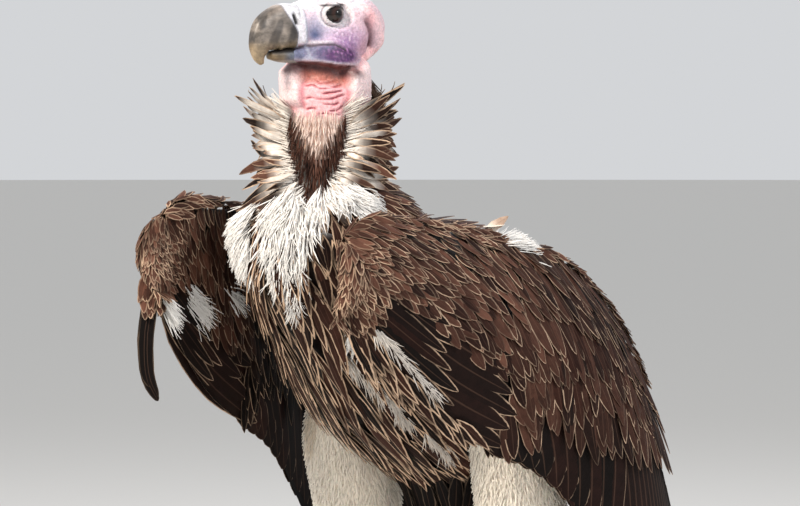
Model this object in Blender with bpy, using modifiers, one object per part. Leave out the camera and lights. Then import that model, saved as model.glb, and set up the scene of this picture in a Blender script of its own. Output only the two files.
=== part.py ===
"""Lappet-faced vulture, adult, life size, standing with both wings half lowered.

The bird faces -Y with its left side at +X, and stands on the floor at z = 0.
Sizes below are measured from the point on the floor midway between the feet, and
the empty called stance then sets the bird with the middle of its box over the
origin. Every solid reaches out to the tips of the plumage it stands for.
Neighbouring solids keep GAP between them.
"""

import math

import bmesh
import bpy
from mathutils import Matrix, Vector

COLLECTION = "lappet_faced_vulture"
STANCE_Y = -0.026
GAP = 0.0003

SECTION_SIDES = 10
SIDES = {"left": 1.0, "right": -1.0}

ACROSS = Vector((1.0, 0.0, 0.0))
UP = Vector((0.0, 0.0, 1.0))

# Head and neck
EYE_HEIGHT = 0.886
HEAD_ORIGIN = Vector((-0.001, -0.157, EYE_HEIGHT))
HEAD_YAW = math.radians(-17.0)
HEAD_PITCH = math.radians(3.0)
EYE_RADIUS = 0.0115
EYE_OFFSET = 0.0195
NECK_Y = -0.150
NECK_RADIUS = 0.043

# Legs
HIP_SPREAD = 0.105
FOOT_SPREAD = 0.092
ANKLE_HEIGHT = 0.155
ANKLE_Y = 0.066
FOOT_Y = 0.004
PAD_HEIGHT = 0.021
TOE_DROP = 0.0085
TOES = {
    "middle": (-3.0, 0.088, 0.0090),
    "inner": (38.0, 0.058, 0.0088),
    "outer": (-38.0, 0.062, 0.0082),
    "hind": (176.0, 0.040, 0.0084),
}
TOE_SIDES = 6
CLAW_LENGTH = 0.031

# Tail
TAIL_ROOT = Vector((0.0, 0.088, 0.425))
TAIL_TIP = Vector((0.0, 0.285, 0.130))

# Wings
RIGHT_WRIST_LIFT = 0.020
RIGHT_WRIST_OUT = 0.014


# ---------------------------------------------------------------- building tools

def clear_scene():
    for scene_object in list(bpy.data.objects):
        bpy.data.objects.remove(scene_object, do_unlink=True)


def collection(name):
    made = bpy.data.collections.new(name)
    bpy.context.scene.collection.children.link(made)
    return made


def material(name, colour, roughness, metallic=0.0):
    made = bpy.data.materials.new(name)
    made.use_nodes = True
    shader = made.node_tree.nodes["Principled BSDF"]
    shader.inputs["Base Color"].default_value = (*colour, 1.0)
    shader.inputs["Roughness"].default_value = roughness
    shader.inputs["Metallic"].default_value = metallic
    made.diffuse_color = (*colour, 1.0)
    return made


def stance():
    """The empty that carries the bird, so that the origin is under its middle."""
    made = bpy.data.objects.new("stance", None)
    made.location = (0.0, STANCE_Y, 0.0)
    bpy.context.scene.collection.objects.link(made)
    return made


def place(name, mesh, surface):
    """Add a finished mesh to the model as the node called name."""
    mesh.name = name
    mesh.materials.clear()
    mesh.materials.append(surface)
    made = bpy.data.objects.new(name, mesh)
    made.parent = STANCE
    PARTS.objects.link(made)
    return made


def cutter(name, mesh):
    made = bpy.data.objects.new(name, mesh)
    made.parent = STANCE
    made.hide_render = True
    made.display_type = "WIRE"
    CUTTERS.objects.link(made)
    return made


def facet(target):
    """Split faces the same way on a solid and on its cutter, so their gap holds."""
    splitter = target.modifiers.new("facet", "TRIANGULATE")
    splitter.quad_method = "FIXED"
    return target


def soften(target, levels=1):
    rounder = target.modifiers.new("soften", "SUBSURF")
    rounder.levels = levels
    rounder.render_levels = levels
    return facet(target)


def cut(target, *tools):
    for tool in tools:
        difference = target.modifiers.new("cut_" + tool.name, "BOOLEAN")
        difference.operation = "DIFFERENCE"
        difference.solver = "EXACT"
        difference.object = tool
    return target


def mesh_of(shape):
    bmesh.ops.recalc_face_normals(shape, faces=shape.faces)
    mesh = bpy.data.meshes.new("shape")
    shape.to_mesh(mesh)
    shape.free()
    return mesh


def faceted(mesh):
    shape = bmesh.new()
    shape.from_mesh(mesh)
    bmesh.ops.triangulate(shape, faces=shape.faces, quad_method="FIXED")
    return mesh_of(shape)


def path_tangents(centres):
    last = len(centres) - 1
    return [(centres[min(i + 1, last)] - centres[max(i - 1, 0)]).normalized()
            for i in range(len(centres))]


def loft(stations, side=ACROSS, count=SECTION_SIDES, grow=0.0, fill=1.0):
    """Bridge oval sections that stand square to the path through their centres.

    A station is (centre, half width, reach above, reach below). Above is the side
    vector crossed with the path's direction. grow swells the shape all round, and
    fill scales the sections.
    """
    centres = [Vector(station[0]) for station in stations]
    tangents = path_tangents(centres)
    centres[0] = centres[0] - tangents[0] * grow
    centres[-1] = centres[-1] + tangents[-1] * grow
    shape = bmesh.new()
    rings = []
    for centre, tangent, (_, width, above, below) in zip(centres, tangents, stations):
        across = (side - tangent * side.dot(tangent)).normalized()
        upward = across.cross(tangent)
        ring = []
        for step in range(count):
            angle = 2.0 * math.pi * (step + 0.5) / count
            reach = (above if math.sin(angle) > 0.0 else below) * fill + grow
            offset = across * (math.cos(angle) * (width * fill + grow))
            offset += upward * (math.sin(angle) * reach)
            ring.append(shape.verts.new(centre + offset))
        rings.append(ring)
    for lower, higher in zip(rings, rings[1:]):
        for step in range(count):
            after = (step + 1) % count
            shape.faces.new((lower[step], lower[after], higher[after], higher[step]))
    shape.faces.new(rings[0])
    shape.faces.new(rings[-1])
    return mesh_of(shape)


def soft_shape(stations, count=SECTION_SIDES, **options):
    """A loft whose sections keep their size when they are subdivided.

    Subdivision draws a regular ring in to (2 + cos(turn / count)) / 3 of its radius.
    """
    fill = 3.0 / (2.0 + math.cos(2.0 * math.pi / count))
    return loft(stations, count=count, fill=fill, **options)


def soft_loft(name, stations, surface, **options):
    return soften(place(name, soft_shape(stations, **options), surface))


def loft_cutter(name, stations, **options):
    return soften(cutter(name, soft_shape(stations, grow=GAP, **options)))


def keep_side(mesh, point, outward):
    """Cut a mesh with a plane, drop what lies on its outward side and close the cut."""
    shape = bmesh.new()
    shape.from_mesh(mesh)
    sliced = bmesh.ops.bisect_plane(
        shape, geom=shape.verts[:] + shape.edges[:] + shape.faces[:], dist=1e-7,
        plane_co=point, plane_no=outward, clear_outer=True)
    rim = [piece for piece in sliced["geom_cut"] if isinstance(piece, bmesh.types.BMEdge)]
    bmesh.ops.contextual_create(shape, geom=rim)
    return mesh_of(shape)


# ---------------------------------------------------------------- head and neck

def head_point(forward, left, rise):
    """A point of the head from its reach in front of, beside and above the eyes."""
    turned = Matrix.Rotation(HEAD_YAW, 3, "Z") @ Matrix.Rotation(HEAD_PITCH, 3, "X")
    return HEAD_ORIGIN + turned @ Vector((left, -forward, rise))


def head_side():
    return Matrix.Rotation(HEAD_YAW, 3, "Z") @ ACROSS


def head_stations():
    rows = (
        (0.036, 0.0145, -0.0120, 0.025, 0.027),
        (0.024, 0.0190, -0.0130, 0.029, 0.031),
        (0.000, 0.0280, -0.0140, 0.036, 0.036),
        (-0.026, 0.0335, -0.0150, 0.037, 0.038),
        (-0.048, 0.0310, -0.0170, 0.033, 0.036),
        (-0.064, 0.0200, -0.0210, 0.021, 0.025),
    )
    return [(head_point(reach, 0.0, rise), width, above, below)
            for reach, width, rise, above, below in rows]


def bill_upper_stations():
    """The deep hooked upper bill: sections turn as the bill curves down to its tip."""
    rows = (
        (0.0365, -0.0105, 0.0145, 0.0235, 0.0220),
        (0.0520, -0.0108, 0.0130, 0.0228, 0.0218),
        (0.0670, -0.0160, 0.0110, 0.0195, 0.0180),
        (0.0762, -0.0270, 0.0082, 0.0130, 0.0120),
        (0.0780, -0.0390, 0.0052, 0.0072, 0.0070),
        (0.0740, -0.0480, 0.0018, 0.0020, 0.0020),
    )
    return [(head_point(reach, 0.0, rise), width, above, below)
            for reach, rise, width, above, below in rows]


def bill_lower_stations():
    rows = (
        (0.0367, -0.0390, 0.0125, 0.0085, 0.0075),
        (0.0500, -0.0385, 0.0110, 0.0075, 0.0070),
        (0.0640, -0.0372, 0.0060, 0.0045, 0.0045),
    )
    return [(head_point(reach, 0.0, rise), width, above, below)
            for reach, rise, width, above, below in rows]


def neck_stations():
    return [
        ((0.0, NECK_Y - 0.004, 0.680), NECK_RADIUS, NECK_RADIUS, NECK_RADIUS),
        ((0.0, NECK_Y - 0.001, 0.755), NECK_RADIUS, NECK_RADIUS, NECK_RADIUS),
        ((0.0, NECK_Y, 0.812), 0.047, 0.047, 0.047),
        ((0.0, NECK_Y - 0.002, 0.850), 0.036, 0.036, 0.040),
        ((0.0, NECK_Y - 0.004, 0.872), 0.018, 0.018, 0.020),
    ]


def ruff_stations():
    """A standing collar of feathers, widest a hand below the bare throat."""
    return [
        ((0.0, NECK_Y, 0.700), 0.074, 0.074, 0.070),
        ((0.0, NECK_Y, 0.744), 0.087, 0.085, 0.084),
        ((0.0, NECK_Y, 0.788), 0.076, 0.073, 0.077),
        ((0.0, NECK_Y, 0.818), 0.055, 0.052, 0.058),
    ]


def collar_stations():
    """The white down bib in front of the neck base."""
    return [
        ((0.0, -0.178, 0.580), 0.034, 0.034, 0.010),
        ((0.0, -0.176, 0.612), 0.070, 0.052, 0.020),
        ((0.0, -0.178, 0.664), 0.090, 0.069, 0.036),
        ((0.0, -0.168, 0.706), 0.073, 0.061, 0.046),
        ((0.0, -0.160, 0.724), 0.060, 0.052, 0.048),
    ]


def eyeball(centre, radius):
    ball = bmesh.new()
    bmesh.ops.create_uvsphere(ball, u_segments=10, v_segments=7, radius=radius,
                              matrix=Matrix.Translation(centre))
    return mesh_of(ball)


def make_head():
    sockets = []
    for label, side in SIDES.items():
        centre = head_point(0.0, side * EYE_OFFSET, 0.0)
        place("eye_" + label, eyeball(centre, EYE_RADIUS), EYE)
        sockets.append(cutter("socket_" + label, eyeball(centre, EYE_RADIUS + GAP)))
    head = soft_loft("head", head_stations(), FACE_SKIN, side=head_side())
    cut(head, *sockets)
    soft_loft("bill_upper", bill_upper_stations(), HORN, side=head_side())
    upper_cutter = loft_cutter("bill_upper_cutter", bill_upper_stations(),
                               side=head_side())
    lower = soft_loft("bill_lower", bill_lower_stations(), HORN, side=head_side(),
                      count=8)
    cut(lower, upper_cutter)


def make_neck():
    head_cutter = loft_cutter("head_cutter", head_stations(), side=head_side())
    neck_cutter = loft_cutter("neck_cutter", neck_stations())
    collar_cutter = loft_cutter("collar_cutter", collar_stations())
    neck = soft_loft("neck", neck_stations(), FACE_SKIN)
    cut(neck, head_cutter, TRUNK_CUTTER)
    ruff = soft_loft("ruff", ruff_stations(), BROWN_PLUMAGE)
    cut(ruff, neck_cutter, TRUNK_CUTTER, collar_cutter)
    collar = soft_loft("collar", collar_stations(), WHITE_DOWN)
    cut(collar, neck_cutter, TRUNK_CUTTER)


# ---------------------------------------------------------------- trunk and tail

def trunk_stations():
    """Ovals from the neck base, down the breast and belly, back to the vent."""
    rows = (
        (-0.168, 0.722, 0.046, 0.036, 0.046),
        (-0.150, 0.690, 0.086, 0.068, 0.070),
        (-0.122, 0.645, 0.108, 0.088, 0.090),
        (-0.080, 0.585, 0.115, 0.096, 0.096),
        (-0.030, 0.525, 0.115, 0.094, 0.088),
        (0.020, 0.470, 0.103, 0.078, 0.066),
        (0.062, 0.428, 0.076, 0.054, 0.046),
        (0.092, 0.395, 0.045, 0.030, 0.028),
    )
    return [((0.0, y, z), width, above, below) for y, z, width, above, below in rows]


def tail_stations():
    """A folded fan: narrow and thick at the root, wide and thin at its end."""
    rows = (
        (0.00, 0.034, 0.017),
        (0.25, 0.042, 0.013),
        (0.60, 0.055, 0.008),
        (0.90, 0.064, 0.0045),
        (1.00, 0.058, 0.0025),
    )
    return [(TAIL_ROOT.lerp(TAIL_TIP, share), width, thick, thick)
            for share, width, thick in rows]


def make_trunk():
    soft_loft("trunk", trunk_stations(), BROWN_PLUMAGE)
    tail = soft_loft("tail", tail_stations(), DARK_QUILL, count=6)
    cut(tail, TRUNK_CUTTER)


# ---------------------------------------------------------------- wings

# Each row is a slice of the lowered wing: its lower edge and upper edge, both as
# (y, z), its distance from the middle plane, and its thickness.
WING_SLICES = (
    ((-0.268, 0.596), (-0.267, 0.664), 0.118, 0.026),
    ((-0.240, 0.556), (-0.226, 0.688), 0.130, 0.042),
    ((-0.165, 0.494), (-0.130, 0.682), 0.149, 0.050),
    ((-0.085, 0.453), (-0.030, 0.668), 0.166, 0.052),
    ((-0.010, 0.418), (0.072, 0.640), 0.184, 0.046),
    ((0.062, 0.352), (0.155, 0.574), 0.198, 0.034),
    ((0.132, 0.278), (0.220, 0.482), 0.197, 0.024),
    ((0.200, 0.208), (0.274, 0.378), 0.182, 0.016),
    ((0.262, 0.152), (0.316, 0.255), 0.156, 0.010),
    ((0.304, 0.116), (0.332, 0.152), 0.130, 0.006),
)
WING_BOW = 0.014
WING_LEAN = 0.030
WING_EDGE = 0.0035
WING_STEPS = 7

# Seams of the wing as (point, direction away from the kept side), both in (y, z).
FRONT_SEAM = ((-0.040, 0.560), (1.0, -0.14))
QUILL_SEAM = ((0.060, 0.470), (0.26, -1.0))
TIP_SEAM = ((0.085, 0.340), (0.62, -0.78))


def wing_mesh(side, lift, out):
    """A lens-shaped shell, bowed outwards, lofted through the wing's slices.

    Across a slice the skin follows a sine, so the shell is thick at mid-slice and
    WING_EDGE thick at both edges. Its upper edge leans in over the back.
    """
    shape = bmesh.new()
    rows = []
    for order, (lower, upper, apart, thickness) in enumerate(WING_SLICES):
        fade = 1.0 - order / (len(WING_SLICES) - 1)
        outer = []
        inner = []
        for step in range(WING_STEPS + 1):
            share = step / WING_STEPS
            y = lower[0] + (upper[0] - lower[0]) * share
            z = lower[1] + (upper[1] - lower[1]) * share + lift * fade
            hump = math.sin(math.pi * share)
            lean = WING_LEAN * math.sin(math.pi * fade) * share ** 3
            middle = apart + out * fade + WING_BOW * (hump - 1.0) - lean
            half = 0.5 * (WING_EDGE + (thickness - WING_EDGE) * hump ** 0.6)
            outer.append(shape.verts.new((side * (middle + half), y, z)))
            inner.append(shape.verts.new((side * (middle - half), y, z)))
        rows.append(outer + inner[::-1])
    around = 2 * (WING_STEPS + 1)
    for near, far in zip(rows, rows[1:]):
        for step in range(around):
            after = (step + 1) % around
            shape.faces.new((near[step], near[after], far[after], far[step]))
    for row in (rows[0], rows[-1]):
        for step in range(WING_STEPS):
            shape.faces.new((row[step], row[step + 1], row[-2 - step], row[-1 - step]))
    return faceted(mesh_of(shape))


def wing_part(name, whole, seams, surface):
    """Cut one node out of the whole wing: each seam is (seam, +1 or -1 side kept)."""
    piece = whole.copy()
    for (point, outward), kept in seams:
        away = Vector((0.0, outward[0] * kept, outward[1] * kept)).normalized()
        at = Vector((0.0, point[0], point[1])) - away * (0.5 * GAP)
        piece = keep_side(piece, at, away)
    return place(name, piece, surface)


def shoulder_stations(side, lift, out):
    """The upper arm and its scapular feathers, from the trunk back to the elbow."""
    rows = (
        (0.052, -0.128, 0.648, 0.030, 0.034),
        (0.086, -0.110, 0.650, 0.036, 0.036),
        (0.110, -0.070, 0.643, 0.035, 0.036),
        (0.126, -0.018, 0.624, 0.028, 0.032),
        (0.136, 0.036, 0.598, 0.018, 0.022),
    )
    return [((side * (x + 0.2 * out), y, z + 0.2 * lift), width, deep, deep)
            for x, y, z, width, deep in rows]


def make_wing(label, lift, out):
    side = SIDES[label]
    whole = wing_mesh(side, lift, out)
    prefix = "wing_" + label
    wing_part(prefix + "_forearm", whole, ((FRONT_SEAM, 1),), BROWN_PLUMAGE)
    wing_part(prefix + "_elbow", whole, ((FRONT_SEAM, -1), (QUILL_SEAM, 1)),
              BROWN_PLUMAGE)
    wing_part(prefix + "_secondaries", whole,
              ((FRONT_SEAM, -1), (QUILL_SEAM, -1), (TIP_SEAM, 1)), DARK_QUILL)
    wing_part(prefix + "_primaries", whole,
              ((FRONT_SEAM, -1), (QUILL_SEAM, -1), (TIP_SEAM, -1)), DARK_QUILL)
    blade_cutter = cutter(prefix + "_cutter", whole)
    swell = blade_cutter.modifiers.new("swell", "DISPLACE")
    swell.strength = GAP
    swell.mid_level = 0.0
    shoulder = soft_loft(prefix + "_shoulder", shoulder_stations(side, lift, out),
                         BROWN_PLUMAGE, count=6)
    cut(shoulder, TRUNK_CUTTER, blade_cutter)


def make_alula():
    """The right thumb feathers hang free in front of the wing's bend."""
    top = Vector((-0.118 - RIGHT_WRIST_OUT, -0.262, 0.606))
    stations = [
        (top, 0.012, 0.0045, 0.0045),
        (top + Vector((-0.003, -0.006, -0.040)), 0.013, 0.0040, 0.0040),
        (top + Vector((-0.002, -0.007, -0.080)), 0.010, 0.0030, 0.0030),
        (top + Vector((0.005, -0.003, -0.106)), 0.004, 0.0018, 0.0018),
    ]
    quill = faceted(loft(stations, side=Vector((0.45, -0.9, 0.0)), count=8))
    cut(place("wing_right_alula", quill, DARK_QUILL),
        bpy.data.objects["wing_right_cutter"])


# ---------------------------------------------------------------- legs and feet

def thigh_stations(side):
    """Down trousers, from the flank to the ankle."""
    return [
        ((side * 0.074, 0.014, 0.520), 0.042, 0.056, 0.056),
        ((side * HIP_SPREAD, 0.036, 0.455), 0.053, 0.062, 0.062),
        ((side * HIP_SPREAD, 0.048, 0.390), 0.053, 0.058, 0.058),
        ((side * (HIP_SPREAD - 0.002), 0.056, 0.320), 0.046, 0.048, 0.050),
        ((side * (HIP_SPREAD - 0.006), 0.062, 0.240), 0.036, 0.037, 0.038),
        ((side * FOOT_SPREAD, ANKLE_Y, ANKLE_HEIGHT + 0.014), 0.022, 0.023, 0.024),
    ]


def tarsus_stations(side):
    x = side * FOOT_SPREAD
    return [
        ((x, ANKLE_Y + 0.002, ANKLE_HEIGHT + 0.030), 0.011, 0.012, 0.012),
        ((x, ANKLE_Y, ANKLE_HEIGHT), 0.0135, 0.0145, 0.0145),
        ((x, ANKLE_Y - 0.012, ANKLE_HEIGHT - 0.028), 0.0110, 0.0120, 0.0120),
        ((x, FOOT_Y + 0.020, 0.065), 0.0105, 0.0115, 0.0115),
        ((x, FOOT_Y + 0.004, 0.022), 0.0115, 0.0115, 0.0115),
    ]


def pad_stations(side):
    x = side * FOOT_SPREAD
    return [
        ((x, FOOT_Y + 0.002, 0.0335), 0.0135, 0.0135, 0.0135),
        ((x, FOOT_Y, PAD_HEIGHT), 0.0175, 0.0175, 0.0175),
        ((x, FOOT_Y, 0.006), 0.0160, 0.0160, 0.0160),
        ((x, FOOT_Y, -0.004), 0.0130, 0.0130, 0.0130),
    ]


def toe_stations(root, along, length, radius):
    """A toe that swells at its joint pads and lies along the floor."""
    rows = ((0.0, 1.05), (0.30, 0.92), (0.46, 1.06), (0.66, 0.84), (0.80, 0.98),
            (0.97, 0.72))
    return [(root + along * (length * share) - UP * (TOE_DROP * min(1.0, 2.5 * share)),
             radius * fat, radius * fat, radius * fat) for share, fat in rows]


def claw_stations(tip, along, radius):
    """A quarter-turn horn that arches up and comes down to the floor."""
    rows = ((-0.12, 0.002, 0.66), (0.30, 0.0055, 0.58), (0.68, 0.003, 0.36),
            (1.00, -0.0055, 0.12))
    return [(tip + along * (CLAW_LENGTH * share) + UP * rise,
             radius * fat, radius * fat * 1.15, radius * fat * 1.15)
            for share, rise, fat in rows]


def level(mesh):
    """Take away all that reaches below the floor."""
    return keep_side(mesh, Vector(), -UP)


def make_leg(label):
    side = SIDES[label]
    thigh = soft_loft("thigh_" + label, thigh_stations(side), WHITE_DOWN, count=8)
    tarsus_cutter = loft_cutter("tarsus_cutter_" + label, tarsus_stations(side),
                                count=6)
    cut(thigh, TRUNK_CUTTER, tarsus_cutter)
    soft_loft("tarsus_" + label, tarsus_stations(side), LEG_SKIN, count=6)
    pad = faceted(loft(pad_stations(side), count=10))
    cut(place("foot_" + label, level(pad), LEG_SKIN), tarsus_cutter)
    pad_cutter = cutter("pad_cutter_" + label,
                        faceted(loft(pad_stations(side), count=10, grow=GAP)))
    cleared = [pad_cutter]
    for toe, (turn, length, radius) in TOES.items():
        angle = math.radians(turn) * -side
        along = Matrix.Rotation(angle, 3, "Z") @ Vector((0.0, -1.0, 0.0))
        root = Vector((side * FOOT_SPREAD, FOOT_Y, 0.0175)) + along * 0.006
        across = along.cross(UP)
        name = "%s_%s" % (label, toe)
        stations = toe_stations(root, along, length, radius)
        digit = faceted(loft(stations, side=across, count=TOE_SIDES))
        cut(place("toe_" + name, level(digit), LEG_SKIN), *cleared)
        toe_cutter = cutter("toe_cutter_" + name,
                            faceted(loft(stations, side=across, count=TOE_SIDES,
                                         grow=GAP)))
        tip = stations[-1][0]
        claw = faceted(loft(claw_stations(tip, along, radius), side=across, count=5))
        cut(place("claw_" + name, level(claw), CLAW), toe_cutter)
        cleared.append(toe_cutter)


clear_scene()
PARTS = collection(COLLECTION)
CUTTERS = collection("cutters")
STANCE = stance()

BROWN_PLUMAGE = material("brown_plumage", (0.060, 0.034, 0.022), 0.75)
DARK_QUILL = material("dark_quill", (0.020, 0.014, 0.012), 0.60)
WHITE_DOWN = material("white_down", (0.72, 0.66, 0.56), 0.95)
FACE_SKIN = material("face_skin", (0.62, 0.30, 0.31), 0.55)
LEG_SKIN = material("leg_skin", (0.20, 0.21, 0.23), 0.60)
HORN = material("bill_horn", (0.22, 0.19, 0.16), 0.40)
CLAW = material("claw_horn", (0.03, 0.027, 0.025), 0.35)
EYE = material("eye_dark", (0.02, 0.010, 0.006), 0.08)

TRUNK_CUTTER = loft_cutter("trunk_cutter", trunk_stations())

make_trunk()
make_head()
make_neck()
make_wing("left", 0.0, 0.0)
make_wing("right", RIGHT_WRIST_LIFT, RIGHT_WRIST_OUT)
make_alula()
for leg in SIDES:
    make_leg(leg)
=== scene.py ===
import math

import bpy
import numpy as np
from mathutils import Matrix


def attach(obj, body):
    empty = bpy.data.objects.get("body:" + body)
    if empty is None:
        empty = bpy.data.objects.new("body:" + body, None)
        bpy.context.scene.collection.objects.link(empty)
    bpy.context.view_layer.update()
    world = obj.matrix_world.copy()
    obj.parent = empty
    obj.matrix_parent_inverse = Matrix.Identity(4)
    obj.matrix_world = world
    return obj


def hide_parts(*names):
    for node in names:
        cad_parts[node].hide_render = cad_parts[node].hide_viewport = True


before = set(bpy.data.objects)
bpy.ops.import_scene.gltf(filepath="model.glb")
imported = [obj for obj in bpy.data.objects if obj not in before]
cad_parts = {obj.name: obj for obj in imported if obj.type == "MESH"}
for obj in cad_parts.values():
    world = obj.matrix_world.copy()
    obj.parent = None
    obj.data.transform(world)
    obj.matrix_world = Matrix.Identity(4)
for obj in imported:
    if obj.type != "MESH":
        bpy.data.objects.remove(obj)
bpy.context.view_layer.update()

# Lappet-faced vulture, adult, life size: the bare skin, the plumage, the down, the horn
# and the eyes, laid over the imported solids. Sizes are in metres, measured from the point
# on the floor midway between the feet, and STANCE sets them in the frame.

STANCE = np.array((0.0, -0.026, 0.0))
SIDES = {"left": 1.0, "right": -1.0}
ACROSS = np.array((1.0, 0.0, 0.0))
UP = np.array((0.0, 0.0, 1.0))
BODY = "root"
END_RINGS = (0.02, 0.45, 0.8)         # rings that close the end of a loft, as shares of it
END_BULGE = 0.12                      # how far a closed end stands out, as a share of it


# ------------------------------------------------------------------ arrays and surfaces

def unit(vectors):
    """Each vector divided by its own length."""
    size = np.linalg.norm(vectors, axis=-1, keepdims=True)
    return vectors / np.maximum(size, 1e-12)


def dot(a, b):
    """Dot products of paired vectors, in a last axis of one."""
    return np.sum(a * b, axis=-1, keepdims=True)


def ease(low, high, value):
    """Smooth step: 0 below low, 1 above high, and 3x^2 - 2x^3 between."""
    share = np.clip((value - low) / (high - low), 0.0, 1.0)
    return share * share * (3.0 - 2.0 * share)


def hill(value, middle, spread):
    """Bell curve: exp(-((value - middle) / spread)^2)."""
    return np.exp(-((value - middle) / spread) ** 2)


def smooth(rows, count):
    """Catmull-Rom curve through the rows, read at count even steps."""
    rows = np.asarray(rows, float)
    last = len(rows) - 1
    at = np.linspace(0.0, last, count)
    i = np.minimum(at.astype(int), last - 1)
    f = (at - i)[:, None]
    before = rows[np.maximum(i - 1, 0)]
    here = rows[i]
    there = rows[i + 1]
    after = rows[np.minimum(i + 2, last)]
    return 0.5 * (2.0 * here + (there - before) * f
                  + (2.0 * before - 5.0 * here + 4.0 * there - after) * f ** 2
                  + (3.0 * here - before - 3.0 * there + after) * f ** 3)


def ripple(points, wavelength, seed):
    """Cheap even noise from -1 to 1: the mean of six sine waves in random directions."""
    rng = np.random.default_rng(seed)
    ways = unit(rng.normal(size=(6, 3))) * (2.0 * math.pi / wavelength)
    ways *= rng.uniform(0.7, 1.4, (6, 1))
    return np.sin(points @ ways.T + rng.uniform(0.0, 6.3, 6)).mean(axis=-1) * 1.6


class Surface:
    """A grid of points read as a surface, (i, j) from 0 to 1 over its rows and columns.

    Points lie on straight lines between the grid's own, and carry straight on past its
    ends. facing is 1 where row x column points outwards. closed joins the last column
    to the first. cell is its own square of the bake map, as (u, v, size). Slopes are
    taken over STEP to each side.
    """

    STEP = 0.012

    def __init__(self, grid, cell, facing=1.0, closed=False):
        self.grid = grid
        self.cell = cell
        self.facing = facing
        self.closed = closed

    def at(self, i, j):
        """Points at (i, j), by straight lines between the four grid points round each."""
        rows, columns = self.grid.shape[:2]
        x = i * (rows - 1)
        y = (j % 1.0 if self.closed else j) * (columns - 1)
        a = np.clip(np.floor(x), 0, rows - 2).astype(int)
        b = np.clip(np.floor(y), 0, columns - 2).astype(int)
        f = (x - a)[..., None]
        g = (y - b)[..., None]
        near = self.grid[a, b] * (1.0 - g) + self.grid[a, b + 1] * g
        far = self.grid[a + 1, b] * (1.0 - g) + self.grid[a + 1, b + 1] * g
        return near * (1.0 - f) + far * f

    def read(self, i, j):
        """Point, slope along i, slope along j and outward normal."""
        step = self.STEP
        slope_i = (self.at(i + step, j) - self.at(i - step, j)) / (2.0 * step)
        slope_j = (self.at(i, j + step) - self.at(i, j - step)) / (2.0 * step)
        return self.at(i, j), slope_i, slope_j, unit(np.cross(slope_i, slope_j)) * self.facing


def loft(stations, along, around, side=ACROSS, grow=0.0):
    """Ovals square to a smooth path: a station is (centre, half width, above, below).

    A point is centre + across * width * cos(turn) + upward * reach * sin(turn), where
    reach is above or below by the sign of the sine. grow swells it all round.
    """
    rows = smooth([(*centre, *sizes) for centre, *sizes in stations], along)
    tangent = unit(np.gradient(rows[:, :3], axis=0))
    across = unit(side - tangent * (tangent @ side)[:, None])
    upward = np.cross(across, tangent)
    turn = np.linspace(0.0, 2.0 * math.pi, around + 1)
    wide = (rows[:, 3:4] + grow) * np.cos(turn)
    reach = np.where(np.sin(turn) > 0.0, rows[:, 4:5], rows[:, 5:6])
    tall = (reach + grow) * np.sin(turn)
    return (rows[:, None, :3] + across[:, None] * wide[..., None]
            + upward[:, None] * tall[..., None])


# ------------------------------------------------------------------ meshes

def mesh_object(name, points, faces, maps=None, floats=None, colours=None):
    """A mesh from whole arrays: faces are rows of four indices, maps and attributes go
    by vertex. The object sits at the origin and STANCE is added to its points."""
    faces = np.asarray(faces).reshape(-1, 4)
    mesh = bpy.data.meshes.new(name)
    mesh.vertices.add(len(points))
    mesh.vertices.foreach_set("co", (points + STANCE).astype(np.float32).ravel())
    mesh.loops.add(faces.size)
    mesh.loops.foreach_set("vertex_index", faces.astype(np.int32).ravel())
    mesh.polygons.add(len(faces))
    mesh.polygons.foreach_set("loop_start", np.arange(0, faces.size, 4, dtype=np.int32))
    mesh.update(calc_edges=True)
    mesh.polygons.foreach_set("use_smooth", np.ones(len(faces), bool))
    for label, values in (maps or {}).items():
        layer = mesh.uv_layers.new(name=label)
        layer.uv.foreach_set("vector", values[faces.ravel()].astype(np.float32).ravel())
    for label, values in (floats or {}).items():
        layer = mesh.attributes.new(label, "FLOAT", "POINT")
        layer.data.foreach_set("value", values.astype(np.float32))
    for label, values in (colours or {}).items():
        layer = mesh.color_attributes.new(label, "FLOAT_COLOR", "POINT")
        full = np.concatenate((values, np.ones((len(values), 1))), axis=1)
        layer.data.foreach_set("color", full.astype(np.float32).ravel())
    made = bpy.data.objects.new(name, mesh)
    bpy.context.scene.collection.objects.link(made)
    return made


def strip_faces(rows, columns):
    """Quads between neighbouring rings of a grid of vertices, in outward order."""
    row = np.arange(rows - 1)[:, None] * columns
    step = np.arange(columns)[None, :]
    after = (step + 1) % columns
    return np.stack((row + step, row + columns + step, row + columns + after, row + after), -1)


def closed_grid(grid, facing=1.0):
    """Vertices and quads of a loft whose two ends are drawn in to their middles: each ring
    is a share s of the end ring, pushed outwards by 1 - s^2."""
    ring = grid[:, :-1]
    ends = []
    for end, inner in ((ring[0], ring[1]), (ring[-1], ring[-2])):
        middle = end.mean(axis=0)
        push = unit(middle - inner.mean(axis=0)) * END_BULGE * np.ptp(end, axis=0).max()
        ends.append([middle + push * (1.0 - s * s) + (end - middle) * s for s in END_RINGS])
    whole = np.concatenate((np.array(ends[0]), ring, np.array(ends[1])[::-1]))
    faces = strip_faces(len(whole), ring.shape[1])
    if facing < 0.0:
        faces = faces[..., ::-1]
    return whole.reshape(-1, 3), faces.reshape(-1, 4)


def merge(parts):
    """Join (vertices, faces) pairs into one pair."""
    points = []
    faces = []
    start = 0
    for vertices, quads in parts:
        points.append(vertices)
        faces.append(quads + start)
        start += len(vertices)
    return np.concatenate(points), np.concatenate(faces)


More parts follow.
